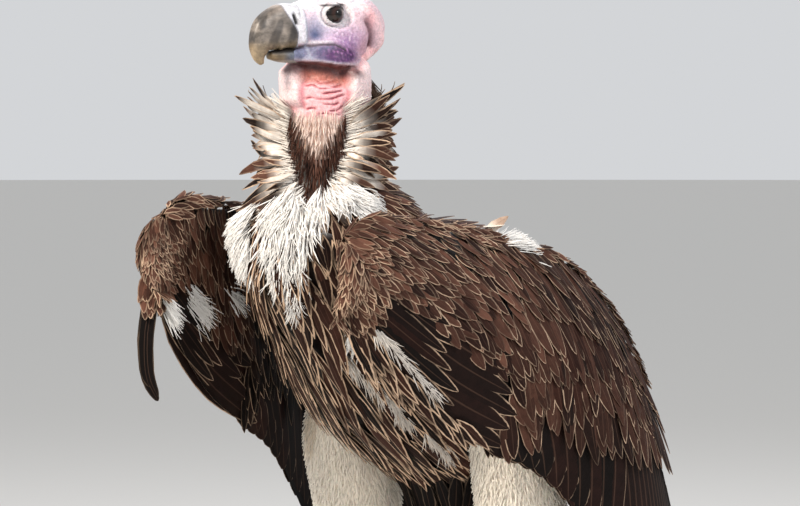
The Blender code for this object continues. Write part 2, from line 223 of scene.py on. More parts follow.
def fuse(name, parts, voxel, rounds):
    """Melt overlapping closed shapes into one closed surface and ease its creases. Gives
    its vertices, their normals and its quads."""
    made = mesh_object(name, *merge(parts))
    melt = made.modifiers.new("melt", "REMESH")
    melt.mode = "VOXEL"
    melt.voxel_size = voxel
    relax = made.modifiers.new("relax", "SMOOTH")
    relax.factor = 0.5
    relax.iterations = rounds
    graph = bpy.context.evaluated_depsgraph_get()
    shape = bpy.data.meshes.new_from_object(made.evaluated_get(graph))
    bpy.data.objects.remove(made)
    points = np.empty(len(shape.vertices) * 3)
    shape.vertices.foreach_get("co", points)
    normals = np.empty(len(shape.vertices) * 3)
    shape.vertex_normals.foreach_get("vector", normals)
    faces = np.empty(len(shape.loops), int)
    shape.loops.foreach_get("vertex_index", faces)
    bpy.data.meshes.remove(shape)
    return points.reshape(-1, 3) - STANCE, normals.reshape(-1, 3), faces.reshape(-1, 4)


# ------------------------------------------------------------------ colours and materials

VANE_LENGTH = 0.070                   # a usual feather, root to tip
BARB_GAP = 0.002                      # as drawn, from one barb to the next
SKIN_GLOW = (0.004, 0.0015, 0.001)    # how far red, green and blue light goes into skin


def linear(code):
    """sRGB hex to linear red, green, blue."""
    value = np.array([int(code[i:i + 2], 16) for i in (1, 3, 5)]) / 255.0
    return np.where(value <= 0.04045, value / 12.92, ((value + 0.055) / 1.055) ** 2.4)


def rgba(code):
    """sRGB hex to a solid colour for a socket."""
    return (*linear(code), 1.0)


def add(tree, kind, values=None, **settings):
    """Add one shader node. values sets or links its inputs, by name or number. A Map
    Range's inputs 1 to 4 are the low and high that it reads and those that it gives."""
    made = tree.nodes.new("ShaderNode" + kind)
    for name, value in settings.items():
        setattr(made, name, value)
    for name, value in (values or {}).items():
        if isinstance(value, bpy.types.NodeSocket):
            tree.links.new(value, made.inputs[name])
        else:
            made.inputs[name].default_value = value
    return made


def material(name, **shader_values):
    """A Principled material and its tree, with the shader's constant values set."""
    made = bpy.data.materials.new(name)
    made.use_nodes = True
    shader = made.node_tree.nodes["Principled BSDF"]
    for label, value in shader_values.items():
        shader.inputs[label.replace("_", " ").title()
                      .replace("Ior", "IOR")].default_value = value
    return made, made.node_tree, shader


def per_metre(millimetres):
    """Scale of a noise whose cells are this wide."""
    return 1000.0 / millimetres


def add_barbs(tree, shader, along, beside):
    """Slanting ridges from a feather's shaft out to its edge: a sine of how far along the
    vane minus half of how far beside it. Barbs are under 1 mm apart, and BARB_GAP draws
    them wider apart so that they show."""
    slant = add(tree, "Math", {0: beside, 1: -0.5, 2: along}, operation="MULTIPLY_ADD")
    barbs = add(tree, "Math", {0: slant.outputs[0], 1: 2.0 * math.pi * VANE_LENGTH / BARB_GAP},
                operation="MULTIPLY")
    wave = add(tree, "Math", {0: barbs.outputs[0]}, operation="SINE")
    bump = add(tree, "Bump", {"Strength": 0.2, "Distance": 0.0003, "Height": wave.outputs[0]})
    tree.links.new(bump.outputs[0], shader.inputs["Normal"])


def feather_material():
    """Contour and flight feathers: grown keratin vanes, so that they have a low, soft gloss.

    The colour comes with each feather, with mottling 11 mm wide. The last 1.5 mm of its
    edge is worn pale where it rubs, more or less over stretches of 22 mm. The shaft is
    paler, and fine barbs run out from it.
    """
    made, tree, shader = material("feather_keratin", roughness=0.6, specular_ior_level=0.08)
    place = add(tree, "UVMap", uv_map="Vane")
    axes = add(tree, "SeparateXYZ", {0: place.outputs[0]})
    shade = add(tree, "Attribute", attribute_name="shade")
    rim = add(tree, "Attribute", attribute_name="rim")
    reach = add(tree, "Attribute", attribute_name="reach")
    centred = add(tree, "Math", {0: axes.outputs[0], 1: 0.5}, operation="SUBTRACT")
    beside = add(tree, "Math", {0: centred.outputs[0]}, operation="ABSOLUTE")
    spots = add(tree, "TexCoord")
    mottle = add(tree, "TexNoise", {"Vector": spots.outputs["Object"], "Detail": 3.0,
                                    "Scale": per_metre(11.11), "Roughness": 0.6})
    inward = add(tree, "Math", {0: 0.5, 1: beside.outputs[0]}, operation="SUBTRACT")
    to_edge = add(tree, "Math", {0: inward.outputs[0], 1: reach.outputs["Fac"]},
                  operation="MULTIPLY")
    uneven = add(tree, "Math", {0: mottle.outputs[0], 1: 0.0016, 2: to_edge.outputs[0]},
                 operation="MULTIPLY_ADD")
    edge = add(tree, "MapRange", {0: uneven.outputs[0], 1: 0.0014, 2: 0.0022, 3: 1.0, 4: 0.0},
               interpolation_type="SMOOTHSTEP")
    wear = add(tree, "TexNoise", {"Vector": spots.outputs["Object"],
                                  "Scale": per_metre(22.22)})
    broken = add(tree, "MapRange", {0: wear.outputs[0], 1: 0.38, 2: 0.58, 3: 0.25, 4: 1.0})
    kept = add(tree, "Math", {0: broken.outputs[0], 1: rim.outputs["Fac"]},
               operation="MULTIPLY")
    worn = add(tree, "Math", {0: edge.outputs[0], 1: kept.outputs[0]}, operation="MULTIPLY",
               use_clamp=True)
    light = add(tree, "MapRange", {0: mottle.outputs[0], 1: 0.3, 2: 0.7, 3: 0.75, 4: 1.2})
    tinted = add(tree, "VectorMath", {0: shade.outputs["Color"], "Scale": light.outputs[0]},
                 operation="SCALE")
    pale = add(tree, "Mix", {"Factor": worn.outputs[0], "A": tinted.outputs[0],
                             "B": rgba("#C9AC92")}, data_type="RGBA")
    shaft = add(tree, "MapRange", {0: beside.outputs[0], 1: 0.012, 2: 0.04, 3: 0.25, 4: 0.0})
    quilled = add(tree, "Mix", {"Factor": shaft.outputs[0], "A": pale.outputs["Result"],
                                "B": rgba("#6E5344")}, data_type="RGBA")
    tree.links.new(quilled.outputs["Result"], shader.inputs["Base Color"])
    add_barbs(tree, shader, axes.outputs[1], beside.outputs[0])
    return made


def down_material():
    """Down: loose keratin barbs with no vane, so that it is matt and fuzzy at its edges,
    and painted darker towards its roots, as shade between the locks."""
    made, tree, shader = material("soft_down", roughness=0.9, sheen_weight=0.3,
                                  sheen_roughness=0.6, specular_ior_level=0.15)
    shade = add(tree, "Attribute", attribute_name="shade")
    place = add(tree, "UVMap", uv_map="Vane")
    axes = add(tree, "SeparateXYZ", {0: place.outputs[0]})
    # painted shade: each lock is darker towards its root, as shade deep among the locks
    painted_depth_shade = add(tree, "MapRange", {0: axes.outputs[1], 1: 0.0, 2: 0.5, 3: 0.8, 4: 1.0})
    tinted = add(tree, "VectorMath", {0: shade.outputs["Color"], "Scale": painted_depth_shade.outputs[0]},
                 operation="SCALE")
    tree.links.new(tinted.outputs[0], shader.inputs["Base Color"])
    return made


def skin_material():
    """Bare skin: satin, with pebbles 2 mm wide on folds 6 mm wide and blood colour in uneven
    specks over 2 mm wide. Light goes a few millimetres into it."""
    made, tree, shader = material("bare_skin", roughness=0.48, subsurface_weight=0.12,
                                  specular_ior_level=0.45)
    shader.inputs["Subsurface Radius"].default_value = SKIN_GLOW
    shader.inputs["Subsurface Scale"].default_value = 1.0
    shade = add(tree, "Attribute", attribute_name="shade")
    bare = add(tree, "Attribute", attribute_name="bare")
    spots = add(tree, "TexCoord")
    blush = add(tree, "TexNoise", {"Vector": spots.outputs["Object"], "Detail": 4.0,
                                   "Scale": per_metre(2.381), "Roughness": 0.7})
    strength = add(tree, "MapRange", {0: blush.outputs[0], 1: 0.35, 2: 0.65, 3: 0.74, 4: 1.18})
    tinted = add(tree, "VectorMath", {0: shade.outputs["Color"], "Scale": strength.outputs[0]},
                 operation="SCALE")
    tree.links.new(tinted.outputs[0], shader.inputs["Base Color"])
    pores = add(tree, "TexVoronoi", {"Vector": spots.outputs["Object"],
                                     "Scale": per_metre(1.923)})
    folds = add(tree, "TexNoise", {"Vector": spots.outputs["Object"], "Detail": 5.0,
                                   "Scale": per_metre(5.882)})
    grain = add(tree, "Math", {0: pores.outputs[0], 1: 0.5, 2: folds.outputs[0]},
                operation="MULTIPLY_ADD")
    height = add(tree, "Math", {0: grain.outputs[0], 1: bare.outputs["Fac"]},
                 operation="MULTIPLY")
    bump = add(tree, "Bump", {"Strength": 0.5, "Distance": 0.0008, "Height": height.outputs[0]})
    tree.links.new(bump.outputs[0], shader.inputs["Normal"])
    return made


def horn_material(name, roughness):
    """Grown horn, worn satin: streaks 4 mm wide run along the growth, over darker and paler
    patches 13 mm wide."""
    made, tree, shader = material(name, roughness=roughness, specular_ior_level=0.5)
    shade = add(tree, "Attribute", attribute_name="shade")
    spots = add(tree, "TexCoord")
    flow = add(tree, "Mapping", {"Vector": spots.outputs["Object"],
                                 "Scale": (per_metre(3.846), per_metre(11.11), per_metre(3.846))})
    streak = add(tree, "TexNoise", {"Vector": flow.outputs[0], "Scale": 1.0, "Detail": 5.0,
                                    "Roughness": 0.65})
    patch = add(tree, "TexNoise", {"Vector": spots.outputs["Object"], "Detail": 3.0,
                                   "Scale": per_metre(13.33)})
    both = add(tree, "Math", {0: streak.outputs[0], 1: patch.outputs[0]}, operation="ADD")
    light = add(tree, "MapRange", {0: both.outputs[0], 1: 0.75, 2: 1.25, 3: 0.45, 4: 1.45})
    tinted = add(tree, "VectorMath", {0: shade.outputs["Color"], "Scale": light.outputs[0]},
                 operation="SCALE")
    tree.links.new(tinted.outputs[0], shader.inputs["Base Color"])
    bump = add(tree, "Bump", {"Strength": 0.35, "Distance": 0.0005, "Height": both.outputs[0]})
    tree.links.new(bump.outputs[0], shader.inputs["Normal"])
    return made


def eye_material():
    """A wet eye: a dark brown iris round a black pupil, under a clear wet coat that gives
    one sharp highlight."""
    made, tree, shader = material("wet_eye", roughness=0.15, coat_weight=0.6,
                                  coat_roughness=0.02, specular_ior_level=0.2)
    shade = add(tree, "Attribute", attribute_name="shade")
    tree.links.new(shade.outputs["Color"], shader.inputs["Base Color"])
    return made


def floor_material():
    """Painted studio floor: matt, so that it shows a soft shadow and no reflection."""
    made, _, shader = material("pale_floor", roughness=0.85)
    shader.inputs["Base Color"].default_value = rgba("#D9D7D3")
    return made


FEATHER = feather_material()
DOWN = down_material()
SKIN = skin_material()
BILL_HORN = horn_material("bill_horn", 0.42)
CLAW_HORN = horn_material("claw_horn", 0.35)
WET_EYE = eye_material()

BRIGHTEST = 0.94                      # no feather or lock is paler than this
UMBER = linear("#3B221A")
DARK_UMBER = linear("#24130F")
SOOT = linear("#0E0908")
BARK = linear("#5F3F33")
WHITE = linear("#F2F0ED")
CREAM = linear("#F4ECDF")
PEARL = linear("#E9E1D8")
BUFF = linear("#CDB09C")


def finish(piece, surface, nodes=()):
    """Give a piece its material, slot and body, and hide the imported parts of the nodes that it
    stands for.
    """
    piece.data.materials.append(surface)
    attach(piece, BODY)
    if nodes:
        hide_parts(*nodes)
    return piece


# ------------------------------------------------------------------ vanes and locks

POLE_GUARD = 1e-5


def stations_of(steps):
    """Places along a vane, from 0 at the root to 1 at the tip, closer near the tip."""
    return np.sin(np.linspace(0.0, 0.5 * math.pi, steps + 1))


def walk(surface, roots, heading, length, steps):
    """Carry roots over a surface along their headings: (n, steps + 1, 2) of (i, j).

    Each step moves by the heading laid in the tangent plane, solved for (i, j) from the
    two slopes by normal equations. POLE_GUARD keeps these solvable where a surface draws
    to a point.
    """
    i, j = roots.T
    path = [roots]
    for stride in np.diff(stations_of(steps)):
        _, si, sj, normal = surface.read(i, j)
        lie = unit(heading - normal * dot(heading, normal))
        ii, ij, at_i = (dot(si, other)[:, 0] for other in (si, sj, lie))
        jj, at_j = (dot(sj, other)[:, 0] for other in (sj, lie))
        ii = ii + POLE_GUARD
        jj = jj + POLE_GUARD
        area = ii * jj - ij * ij
        i = i + (jj * at_i - ij * at_j) / area * length * stride
        j = j + (ii * at_j - ij * at_i) / area * length * stride
        path.append(np.stack((i, j), -1))
    return np.stack(path, 1)


def span(roots, tips, steps):
    """Straight paths in (i, j) from roots to tips."""
    share = stations_of(steps)[None, :, None]
    return roots[:, None] * (1.0 - share) + tips[:, None] * share


VANE_THICK = 0.00035                  # from a vane's middle sheet to its shaft's top
END_SHARE = 0.05                      # of its width that a vane keeps at both ends

# Outlines of vanes, as (a, b, c) of the half width: how fast it opens, how late it closes
# and how softly.
SPEAR = (3.0, 1.5, 0.9)
LANCE = (3.5, 2.2, 0.75)
PLUME = (4.0, 3.2, 0.8)
ROUND = (4.0, 4.5, 0.55)
COVERT = (4.0, 3.0, 0.65)
BROAD = (6.0, 3.2, 0.6)
BLADE = (9.0, 7.0, 0.55)
LOCK = (2.5, 1.3, 0.9)


def half_widths(width, form, v, count):
    """Half widths along vanes: width / 2 * (1 - (1 - v)^a) * (1 - v^b)^c, form (a, b, c)."""
    open_by, close_by, soft = form
    half = (1.0 - (1.0 - v) ** open_by) * np.maximum(1.0 - v ** close_by, 0.0) ** soft
    return np.maximum(half, END_SHARE) * 0.5 * np.broadcast_to(width, count)[:, None]


def bake_places(surface, roots, vane_map, patch):
    """Bake map: each vane is a patch at its root's place in its surface's own square."""
    u, w, size = surface.cell
    root = np.stack((roots[:, 0], roots[:, 1] % 1.0), -1)
    root = np.array((u, w)) + np.clip(root, 0.0, 1.0) * size
    return root[:, None, None] + (vane_map - 0.5) * patch


def vanes(surface, path, width, form, shade, rng, *, rise, rim, tip=None, fade=(0.3, 0.7),
          power=1.3, cup=0.15, ragged=0.1, bow=0.0, edge=1.0, patch=0.003, vary=0.2):
    """Closed vanes laid along paths on a surface.

    Centre line: the surface plus its normal times rise[0] + (rise[1] - rise[0]) v^power,
    moved sideways by bow v^2. A ring is left edge, shaft, right edge and underside. The
    edges drop by cup, and are up to ragged further out or in. The colour goes from shade
    to tip over the fade, and each vane is up to vary lighter or darker. rim is how pale
    its margin is worn, and edge widens that margin. patch is its size on the bake map.
    """
    steps = path.shape[1] - 1
    count = len(path)
    v = stations_of(steps)
    points, _, _, normal = surface.read(path[..., 0], path[..., 1])
    low, high = (np.broadcast_to(r, count)[:, None] for r in rise)
    centre = points + normal * (low + (high - low) * v ** power)[..., None]
    tangent = unit(np.gradient(centre, axis=1))
    side = unit(np.cross(tangent, normal))
    upward = np.cross(side, tangent)
    centre = centre + side * (np.broadcast_to(bow, count)[:, None] * v ** 2)[..., None]
    half = half_widths(width, form, v, count)
    left = half * (1.0 + ragged * rng.uniform(-1.0, 1.0, half.shape))
    right = half * (1.0 + ragged * rng.uniform(-1.0, 1.0, half.shape))
    sink = upward * (half * cup)[..., None]
    thick = upward * VANE_THICK
    ring = np.stack((centre - side * left[..., None] - sink, centre + thick,
                     centre + side * right[..., None] - sink, centre - thick), 2)
    across = np.array((0.0, 0.5, 1.0, 0.5))
    vane_map = np.stack(np.broadcast_arrays(across[None, :], v[:, None]), -1)
    vane_map = np.broadcast_to(vane_map, (count, steps + 1, 4, 2))
    bake = bake_places(surface, path[:, 0], vane_map, patch)
    near = np.broadcast_to(shade, (count, 3))[:, None]
    far = near if tip is None else np.broadcast_to(tip, (count, 3))[:, None]
    share = ease(*fade, v)[None, :, None]
    tone = (near * (1.0 - share) + far * share) * rng.uniform(1 - vary, 1 + vary, (count, 1, 1))
    return {
        "points": ring.reshape(-1, 3),
        "faces": vane_faces(count, steps),
        "Vane": vane_map.reshape(-1, 2),
        "OFBake": bake.reshape(-1, 2),
        "shade": np.repeat(np.minimum(tone, BRIGHTEST).reshape(-1, 3), 4, axis=0),
        "rim": np.repeat(np.broadcast_to(rim, count), 4 * (steps + 1)),
        "reach": np.repeat(2.0 / edge * half.ravel(), 4),
    }


def vane_faces(count, steps):
    """Quads round count vanes of four-sided rings, with both ends closed."""
    one = strip_faces(steps + 1, 4)[..., ::-1].reshape(-1, 4)
    last = 4 * steps
    caps = np.array(((3, 2, 1, 0), (last, last + 1, last + 2, last + 3)))
    one = np.concatenate((one, caps))
    return (one[None] + np.arange(count)[:, None, None] * 4 * (steps + 1)).reshape(-1, 4)


def coat(name, batches, surface, nodes=()):
    """Join batches of vanes into one piece. The two side edges of each vane are kept
    sharp, so that its top is shaded flat from edge to edge."""
    points, faces = merge([(batch["points"], batch["faces"]) for batch in batches])
    joined = {key: np.concatenate([batch[key] for batch in batches])
              for key in ("Vane", "OFBake", "shade", "rim", "reach")}
    piece = mesh_object(name, points, faces,
                        {"Vane": joined["Vane"], "OFBake": joined["OFBake"]},
                        {"rim": joined["rim"], "reach": joined["reach"]},
                        {"shade": joined["shade"]})
    ends = np.empty(2 * len(piece.data.edges), int)
    piece.data.edges.foreach_get("vertices", ends)
    corner = ends.reshape(-1, 2) % 4
    sharp = (corner[:, 0] == corner[:, 1]) & (corner[:, 0] % 2 == 0)
    piece.data.attributes.new("sharp_edge", "BOOLEAN", "EDGE").data.foreach_set("value", sharp)
    return finish(piece, surface, nodes)


def rows_of(rows, columns, low, high, rng, jitter=0.35):
    """Staggered roots, rows along i and columns along j, between two (i, j) corners."""
    i, j = np.meshgrid((np.arange(rows) + 0.5) / rows, (np.arange(columns) + 0.25) / columns,
                       indexing="ij")
    j = j + 0.5 * (np.arange(rows) % 2)[:, None] / columns
    i = i + jitter * rng.uniform(-0.5, 0.5, i.shape) / rows
    j = j + jitter * rng.uniform(-0.5, 0.5, i.shape) / columns
    share = np.stack((i, j), -1).reshape(-1, 2)
    return np.asarray(low) + (np.asarray(high) - np.asarray(low)) * share


def wander(points, size, wavelength, seed):
    """A slowly changing sideways push, so that neighbouring locks lean together."""
    return size * np.stack([ripple(points, wavelength, seed + k) for k in range(3)], -1)


def blend(a, b, share):
    """Colours or numbers from a to b by share, one row per share."""
    share = np.asarray(share)[:, None]
    return a * (1.0 - share) + b * share


def painted(count, layers):
    """Colours in layers, (hex code, share): each covers what is under it by its share."""
    shade = np.zeros((count, 3))
    for code, share in layers:
        shade = blend(shade, linear(code), np.clip(share, 0.0, 1.0))
    return shade


def side_rng(label, seed):
    """Random draws that are the same each run, and others on the right than on the left."""
    return np.random.default_rng(seed + (label == "right"))


# ------------------------------------------------------------------ the bird's own shapes

HEAD_ORIGIN = np.array((-0.001, -0.157, 0.886))      # midway between the eyes
HEAD_YAW = math.radians(-17.0)
HEAD_PITCH = math.radians(3.0)
EYE_RADIUS = 0.0115
EYE_OFFSET = 0.0195                   # from the head's middle to the middle of an eye
LID_OPENING = 0.0093                  # half the width between the lids
NECK_Y = -0.150
THROAT_TURN = math.radians(30.0)     # the throat faces this far to the bird's left

TRUNK = (
    ((0.0, -0.168, 0.722), 0.046, 0.036, 0.046),
    ((0.0, -0.150, 0.690), 0.086, 0.068, 0.070),
    ((0.0, -0.122, 0.645), 0.108, 0.088, 0.090),
    ((0.0, -0.080, 0.585), 0.115, 0.096, 0.096),
    ((0.0, -0.030, 0.525), 0.115, 0.094, 0.088),
    ((0.0, 0.020, 0.470), 0.103, 0.078, 0.066),
    ((0.0, 0.062, 0.428), 0.076, 0.054, 0.046),
    ((0.0, 0.092, 0.395), 0.045, 0.030, 0.028),
)
THROAT = (
    ((0.0, NECK_Y, 0.740), 0.036, 0.036, 0.036),
    ((0.0, NECK_Y, 0.790), 0.038, 0.038, 0.038),
    ((0.0, NECK_Y - 0.002, 0.825), 0.039, 0.037, 0.040),
    ((0.0, NECK_Y - 0.006, 0.850), 0.033, 0.034, 0.038),
    ((0.0, NECK_Y - 0.004, 0.872), 0.018, 0.018, 0.020),
)
NECK = (
    ((0.0, NECK_Y - 0.004, 0.680), 0.043, 0.043, 0.043),
    ((0.0, NECK_Y - 0.001, 0.755), 0.043, 0.043, 0.043),
    ((0.0, NECK_Y, 0.812), 0.045, 0.045, 0.045),
    ((0.0, NECK_Y - 0.002, 0.850), 0.036, 0.036, 0.040),
    ((0.0, NECK_Y - 0.004, 0.872), 0.018, 0.018, 0.020),
)
COLLAR = (
    ((0.0, -0.178, 0.580), 0.034, 0.034, 0.010),
    ((0.0, -0.176, 0.612), 0.070, 0.052, 0.020),
    ((0.0, -0.178, 0.664), 0.090, 0.069, 0.036),
    ((0.0, -0.168, 0.706), 0.073, 0.061, 0.046),
    ((0.0, -0.160, 0.724), 0.060, 0.052, 0.048),
)

# Each row of the wing: lower edge and upper edge as (y, z), distance from the middle
# plane, thickness.
WING_SLICES = (
    (-0.268, 0.596, -0.267, 0.664, 0.118, 0.026),
    (-0.240, 0.556, -0.226, 0.688, 0.130, 0.042),
    (-0.165, 0.494, -0.130, 0.682, 0.149, 0.050),
    (-0.085, 0.453, -0.030, 0.668, 0.166, 0.052),
    (-0.010, 0.418, 0.072, 0.640, 0.184, 0.046),
    (0.062, 0.352, 0.155, 0.574, 0.198, 0.034),
    (0.132, 0.278, 0.220, 0.482, 0.197, 0.024),
    (0.200, 0.208, 0.274, 0.378, 0.182, 0.016),
    (0.262, 0.152, 0.316, 0.255, 0.156, 0.010),
    (0.304, 0.116, 0.332, 0.152, 0.130, 0.006),
)
WING_CELLS = (72, 36)                 # rows along the wing and columns up it
WING_BOW = 0.014                      # how far its middle stands out from its edges
WING_LEAN = 0.030                     # how far its ridge leans in over the back
WING_EDGE = 0.0035                    # thickness at its edges
WRIST_LIFT = {"left": 0.0, "right": 0.020}      # the right wing is held a little open
WRIST_OUT = {"left": 0.0, "right": 0.014}

HIP_SPREAD = 0.105
FOOT_SPREAD = 0.092
FOOT_Y = 0.004
# Each toe: degrees from straight ahead towards the middle, length and radius.
TOES = {
    "middle": (-3.0, 0.088, 0.0090),
    "inner": (38.0, 0.058, 0.0088),
    "outer": (-38.0, 0.062, 0.0082),
    "hind": (176.0, 0.040, 0.0084),
}
CLAW_LENGTH = 0.031
TOE_DROP = 0.0085                     # from a toe's root down to its tip
CLAW_CLEARANCE = 0.0002
TAIL_ROOT = np.array((0.0, 0.088, 0.425))
TAIL_TIP = np.array((0.0, 0.285, 0.130))


def turn_matrix(yaw, pitch):
    """Turn about X by pitch and then about Z by yaw."""
    cy, sy, cp, sp = math.cos(yaw), math.sin(yaw), math.cos(pitch), math.sin(pitch)
    about_z = np.array(((cy, -sy, 0.0), (sy, cy, 0.0), (0.0, 0.0, 1.0)))
    about_x = np.array(((1.0, 0.0, 0.0), (0.0, cp, -sp), (0.0, sp, cp)))
    return about_z @ about_x


HEAD_TURN = turn_matrix(HEAD_YAW, HEAD_PITCH)


def head_point(forward, left, rise):
    """A point from its reach in front of, beside and above the middle of the eyes."""
    return HEAD_ORIGIN + HEAD_TURN @ np.array((left, -forward, rise))


def in_head(points):
    """Forward, left and rise of points, as head_point takes them."""
    local = (points - HEAD_ORIGIN) @ HEAD_TURN
    return -local[:, 1], local[:, 0], local[:, 2]


def head_rows(rows):
    """Stations of a loft from (forward, rise, half width, above, below) in the head."""
    return [(head_point(forward, 0.0, rise), *sizes) for forward, rise, *sizes in rows]


HEAD_SIDE = HEAD_TURN @ ACROSS
HEAD_UP = HEAD_TURN @ UP
HEAD = head_rows((
    (0.0355, -0.0110, 0.0142, 0.0240, 0.0235),
    (0.0240, -0.0125, 0.0195, 0.0290, 0.0310),
    (0.0000, -0.0140, 0.0280, 0.0355, 0.0355),
    (-0.0260, -0.0150, 0.0330, 0.0365, 0.0375),
    (-0.0480, -0.0170, 0.0305, 0.0325, 0.0355),
    (-0.0640, -0.0210, 0.0200, 0.0210, 0.0250),
))
JAW = head_rows((
    (0.0450, -0.0385, 0.0112, 0.0060, 0.0062),
    (0.0380, -0.0382, 0.0132, 0.0080, 0.0078),
    (0.0260, -0.0382, 0.0165, 0.0100, 0.0085),
    (0.0080, -0.0400, 0.0205, 0.0120, 0.0105),
    (-0.0140, -0.0420, 0.0240, 0.0140, 0.0115),
    (-0.0260, -0.0400, 0.0215, 0.0120, 0.0090),
))


def wing_grid(label, face, inset=0.0):
    """One face of a wing as (slice, lower edge to upper edge).

    The middle sheet bows out by a sine and leans in by s^3 over the back. face is 1 for
    the outer sheet, -1 for the inner and 0 for the middle: it stands off by half the
    thickness, which is a sine to the power 0.6.
    """
    slices, across = WING_CELLS
    rows = smooth(WING_SLICES, slices)[:, :, None]
    fade = np.linspace(1.0, 0.0, slices)[:, None]
    s = np.linspace(0.0, 1.0, across)[None]
    y = rows[:, 0] + (rows[:, 2] - rows[:, 0]) * s
    z = rows[:, 1] + (rows[:, 3] - rows[:, 1]) * s + WRIST_LIFT[label] * fade
    hump = np.sin(math.pi * s)
    lean = WING_LEAN * np.sin(math.pi * fade) * s ** 3
    x = rows[:, 4] + WRIST_OUT[label] * fade + WING_BOW * (hump - 1.0) - lean
    half = 0.5 * (WING_EDGE + (rows[:, 5] - WING_EDGE) * hump ** 0.6)
    x = x + face * np.maximum(half - inset, 0.3 * half)
    return np.stack((SIDES[label] * x, y, z), -1)


def shoulder(label):
    """Stations of the upper arm under the scapulars, from (x, y, z, half width, depth)."""
    side, out, lift = SIDES[label], WRIST_OUT[label], WRIST_LIFT[label]
    rows = ((0.052, -0.128, 0.648, 0.030, 0.034), (0.086, -0.110, 0.650, 0.036, 0.036),
            (0.110, -0.070, 0.643, 0.035, 0.036), (0.126, -0.018, 0.624, 0.028, 0.032),
            (0.136, 0.036, 0.598, 0.018, 0.022))
    return [((side * (x + 0.2 * out), y, z + 0.2 * lift), wide, painted_depth_shade, painted_depth_shade)
            for x, y, z, wide, painted_depth_shade in rows]


def thigh(label):
    """Stations of the downy trousers, from the flank to the ankle."""
    side = SIDES[label]
    return [((side * 0.074, 0.014, 0.520), 0.042, 0.056, 0.056),
            ((side * HIP_SPREAD, 0.036, 0.455), 0.053, 0.062, 0.062),
            ((side * HIP_SPREAD, 0.048, 0.390), 0.053, 0.058, 0.058),
            ((side * (HIP_SPREAD - 0.002), 0.056, 0.320), 0.046, 0.048, 0.050),
            ((side * (HIP_SPREAD - 0.006), 0.062, 0.240), 0.036, 0.037, 0.038),
            ((side * FOOT_SPREAD, 0.066, 0.169), 0.022, 0.023, 0.024)]


def tarsus(label):
    """Stations of the bare shank, from the ankle to the foot."""
    x = SIDES[label] * FOOT_SPREAD
    return [((x, 0.068, 0.185), 0.0110, 0.0120, 0.0120),
            ((x, 0.066, 0.155), 0.0135, 0.0145, 0.0145),
            ((x, 0.054, 0.127), 0.0110, 0.0120, 0.0120),
            ((x, FOOT_Y + 0.020, 0.065), 0.0105, 0.0115, 0.0115),
            ((x, FOOT_Y + 0.004, 0.022), 0.0115, 0.0115, 0.0115)]


def toe_way(label, toe):
    """Root, direction and tip of a toe along the floor."""
    side = SIDES[label]
    turn, length, _ = TOES[toe]
    angle = math.radians(turn) * -side
    along = np.array((math.sin(angle), -math.cos(angle), 0.0))
    root = np.array((side * FOOT_SPREAD, FOOT_Y, 0.0175)) + along * 0.006
    return root, along, root + along * length * 0.97 - UP * TOE_DROP


def cell(order):
    """A square of the bake map, (u, v, size), for a surface that carries a coat."""
    return (0.01 + 0.25 * (order % 4), 0.01 + 0.25 * (order // 4), 0.23)


def breasted(grid):
    """Swell the front of the trunk's coat over the root of the collar, by two bells."""
    swell = hill(grid[..., 2], 0.625, 0.055) * hill(grid[..., 0], 0.0, 0.075)
    swell = swell * ease(-0.13, -0.16, grid[..., 1])
    return grid - np.array((0.0, 0.030, 0.0)) * swell[..., None]


BODY_COAT = Surface(breasted(loft(TRUNK, 60, 72, grow=-0.007)), cell(0), closed=True)
NECK_COAT = Surface(loft(NECK, 40, 64, grow=-0.002), cell(1), closed=True)
BIB_COAT = Surface(loft(COLLAR, 40, 64, grow=-0.010), cell(2), closed=True)
WINGS = {(label, face): Surface(wing_grid(label, face, 0.004), cell(3 + order),
                                facing=SIDES[label] * (face or 1))
         for order, (label, face) in enumerate((label, face) for label in SIDES
                                               for face in (1, 0, -1))}
SHOULDERS = {label: Surface(loft(shoulder(label), 30, 40, grow=-0.003), cell(9 + order),
                            closed=True) for order, label in enumerate(SIDES)}
TROUSERS = {label: Surface(loft(thigh(label), 44, 48, grow=-0.007), cell(11 + order),
                           closed=True) for order, label in enumerate(SIDES)}


# ------------------------------------------------------------------ skin

def sheet_pair(label, inset, keep):
    """A closed blade from the two faces of a wing, over the first keep of its slices."""
    outer = wing_grid(label, 1, inset)
    inner = wing_grid(label, -1, inset)
    last = int(len(outer) * keep)
    ring = np.concatenate((outer[2:last], inner[2:last, ::-1], outer[2:last, :1]), axis=1)
    return closed_grid(ring, SIDES[label])


def core_parts():
    """Flesh under the plumage: trunk, neck root, shoulders, forearms and thighs."""
    parts = [closed_grid(loft(TRUNK, 40, 40, grow=-0.016)),
             closed_grid(loft(NECK[:3], 16, 32, grow=-0.008)),
             closed_grid(loft(COLLAR[:3], 16, 32, grow=-0.018))]
    for label in SIDES:
        parts.append(closed_grid(loft(shoulder(label), 20, 24, grow=-0.012)))
        parts.append(closed_grid(loft(thigh(label), 24, 24, grow=-0.010)))
        parts.append(sheet_pair(label, 0.010, 0.55))
    return parts


def scuted(rows, ridges, height, along=70, around=20):
    """A loft with raised scutes across its front: radius * (1 + height * |sin|)."""
    grid = loft(rows, along, around)
    middle = grid[:, :-1].mean(axis=1, keepdims=True)
    wave = np.abs(np.sin(np.linspace(0.0, math.pi * ridges, along)))[:, None, None]
    return closed_grid(middle + (grid - middle) * (1.0 + height * (wave - 0.6)))


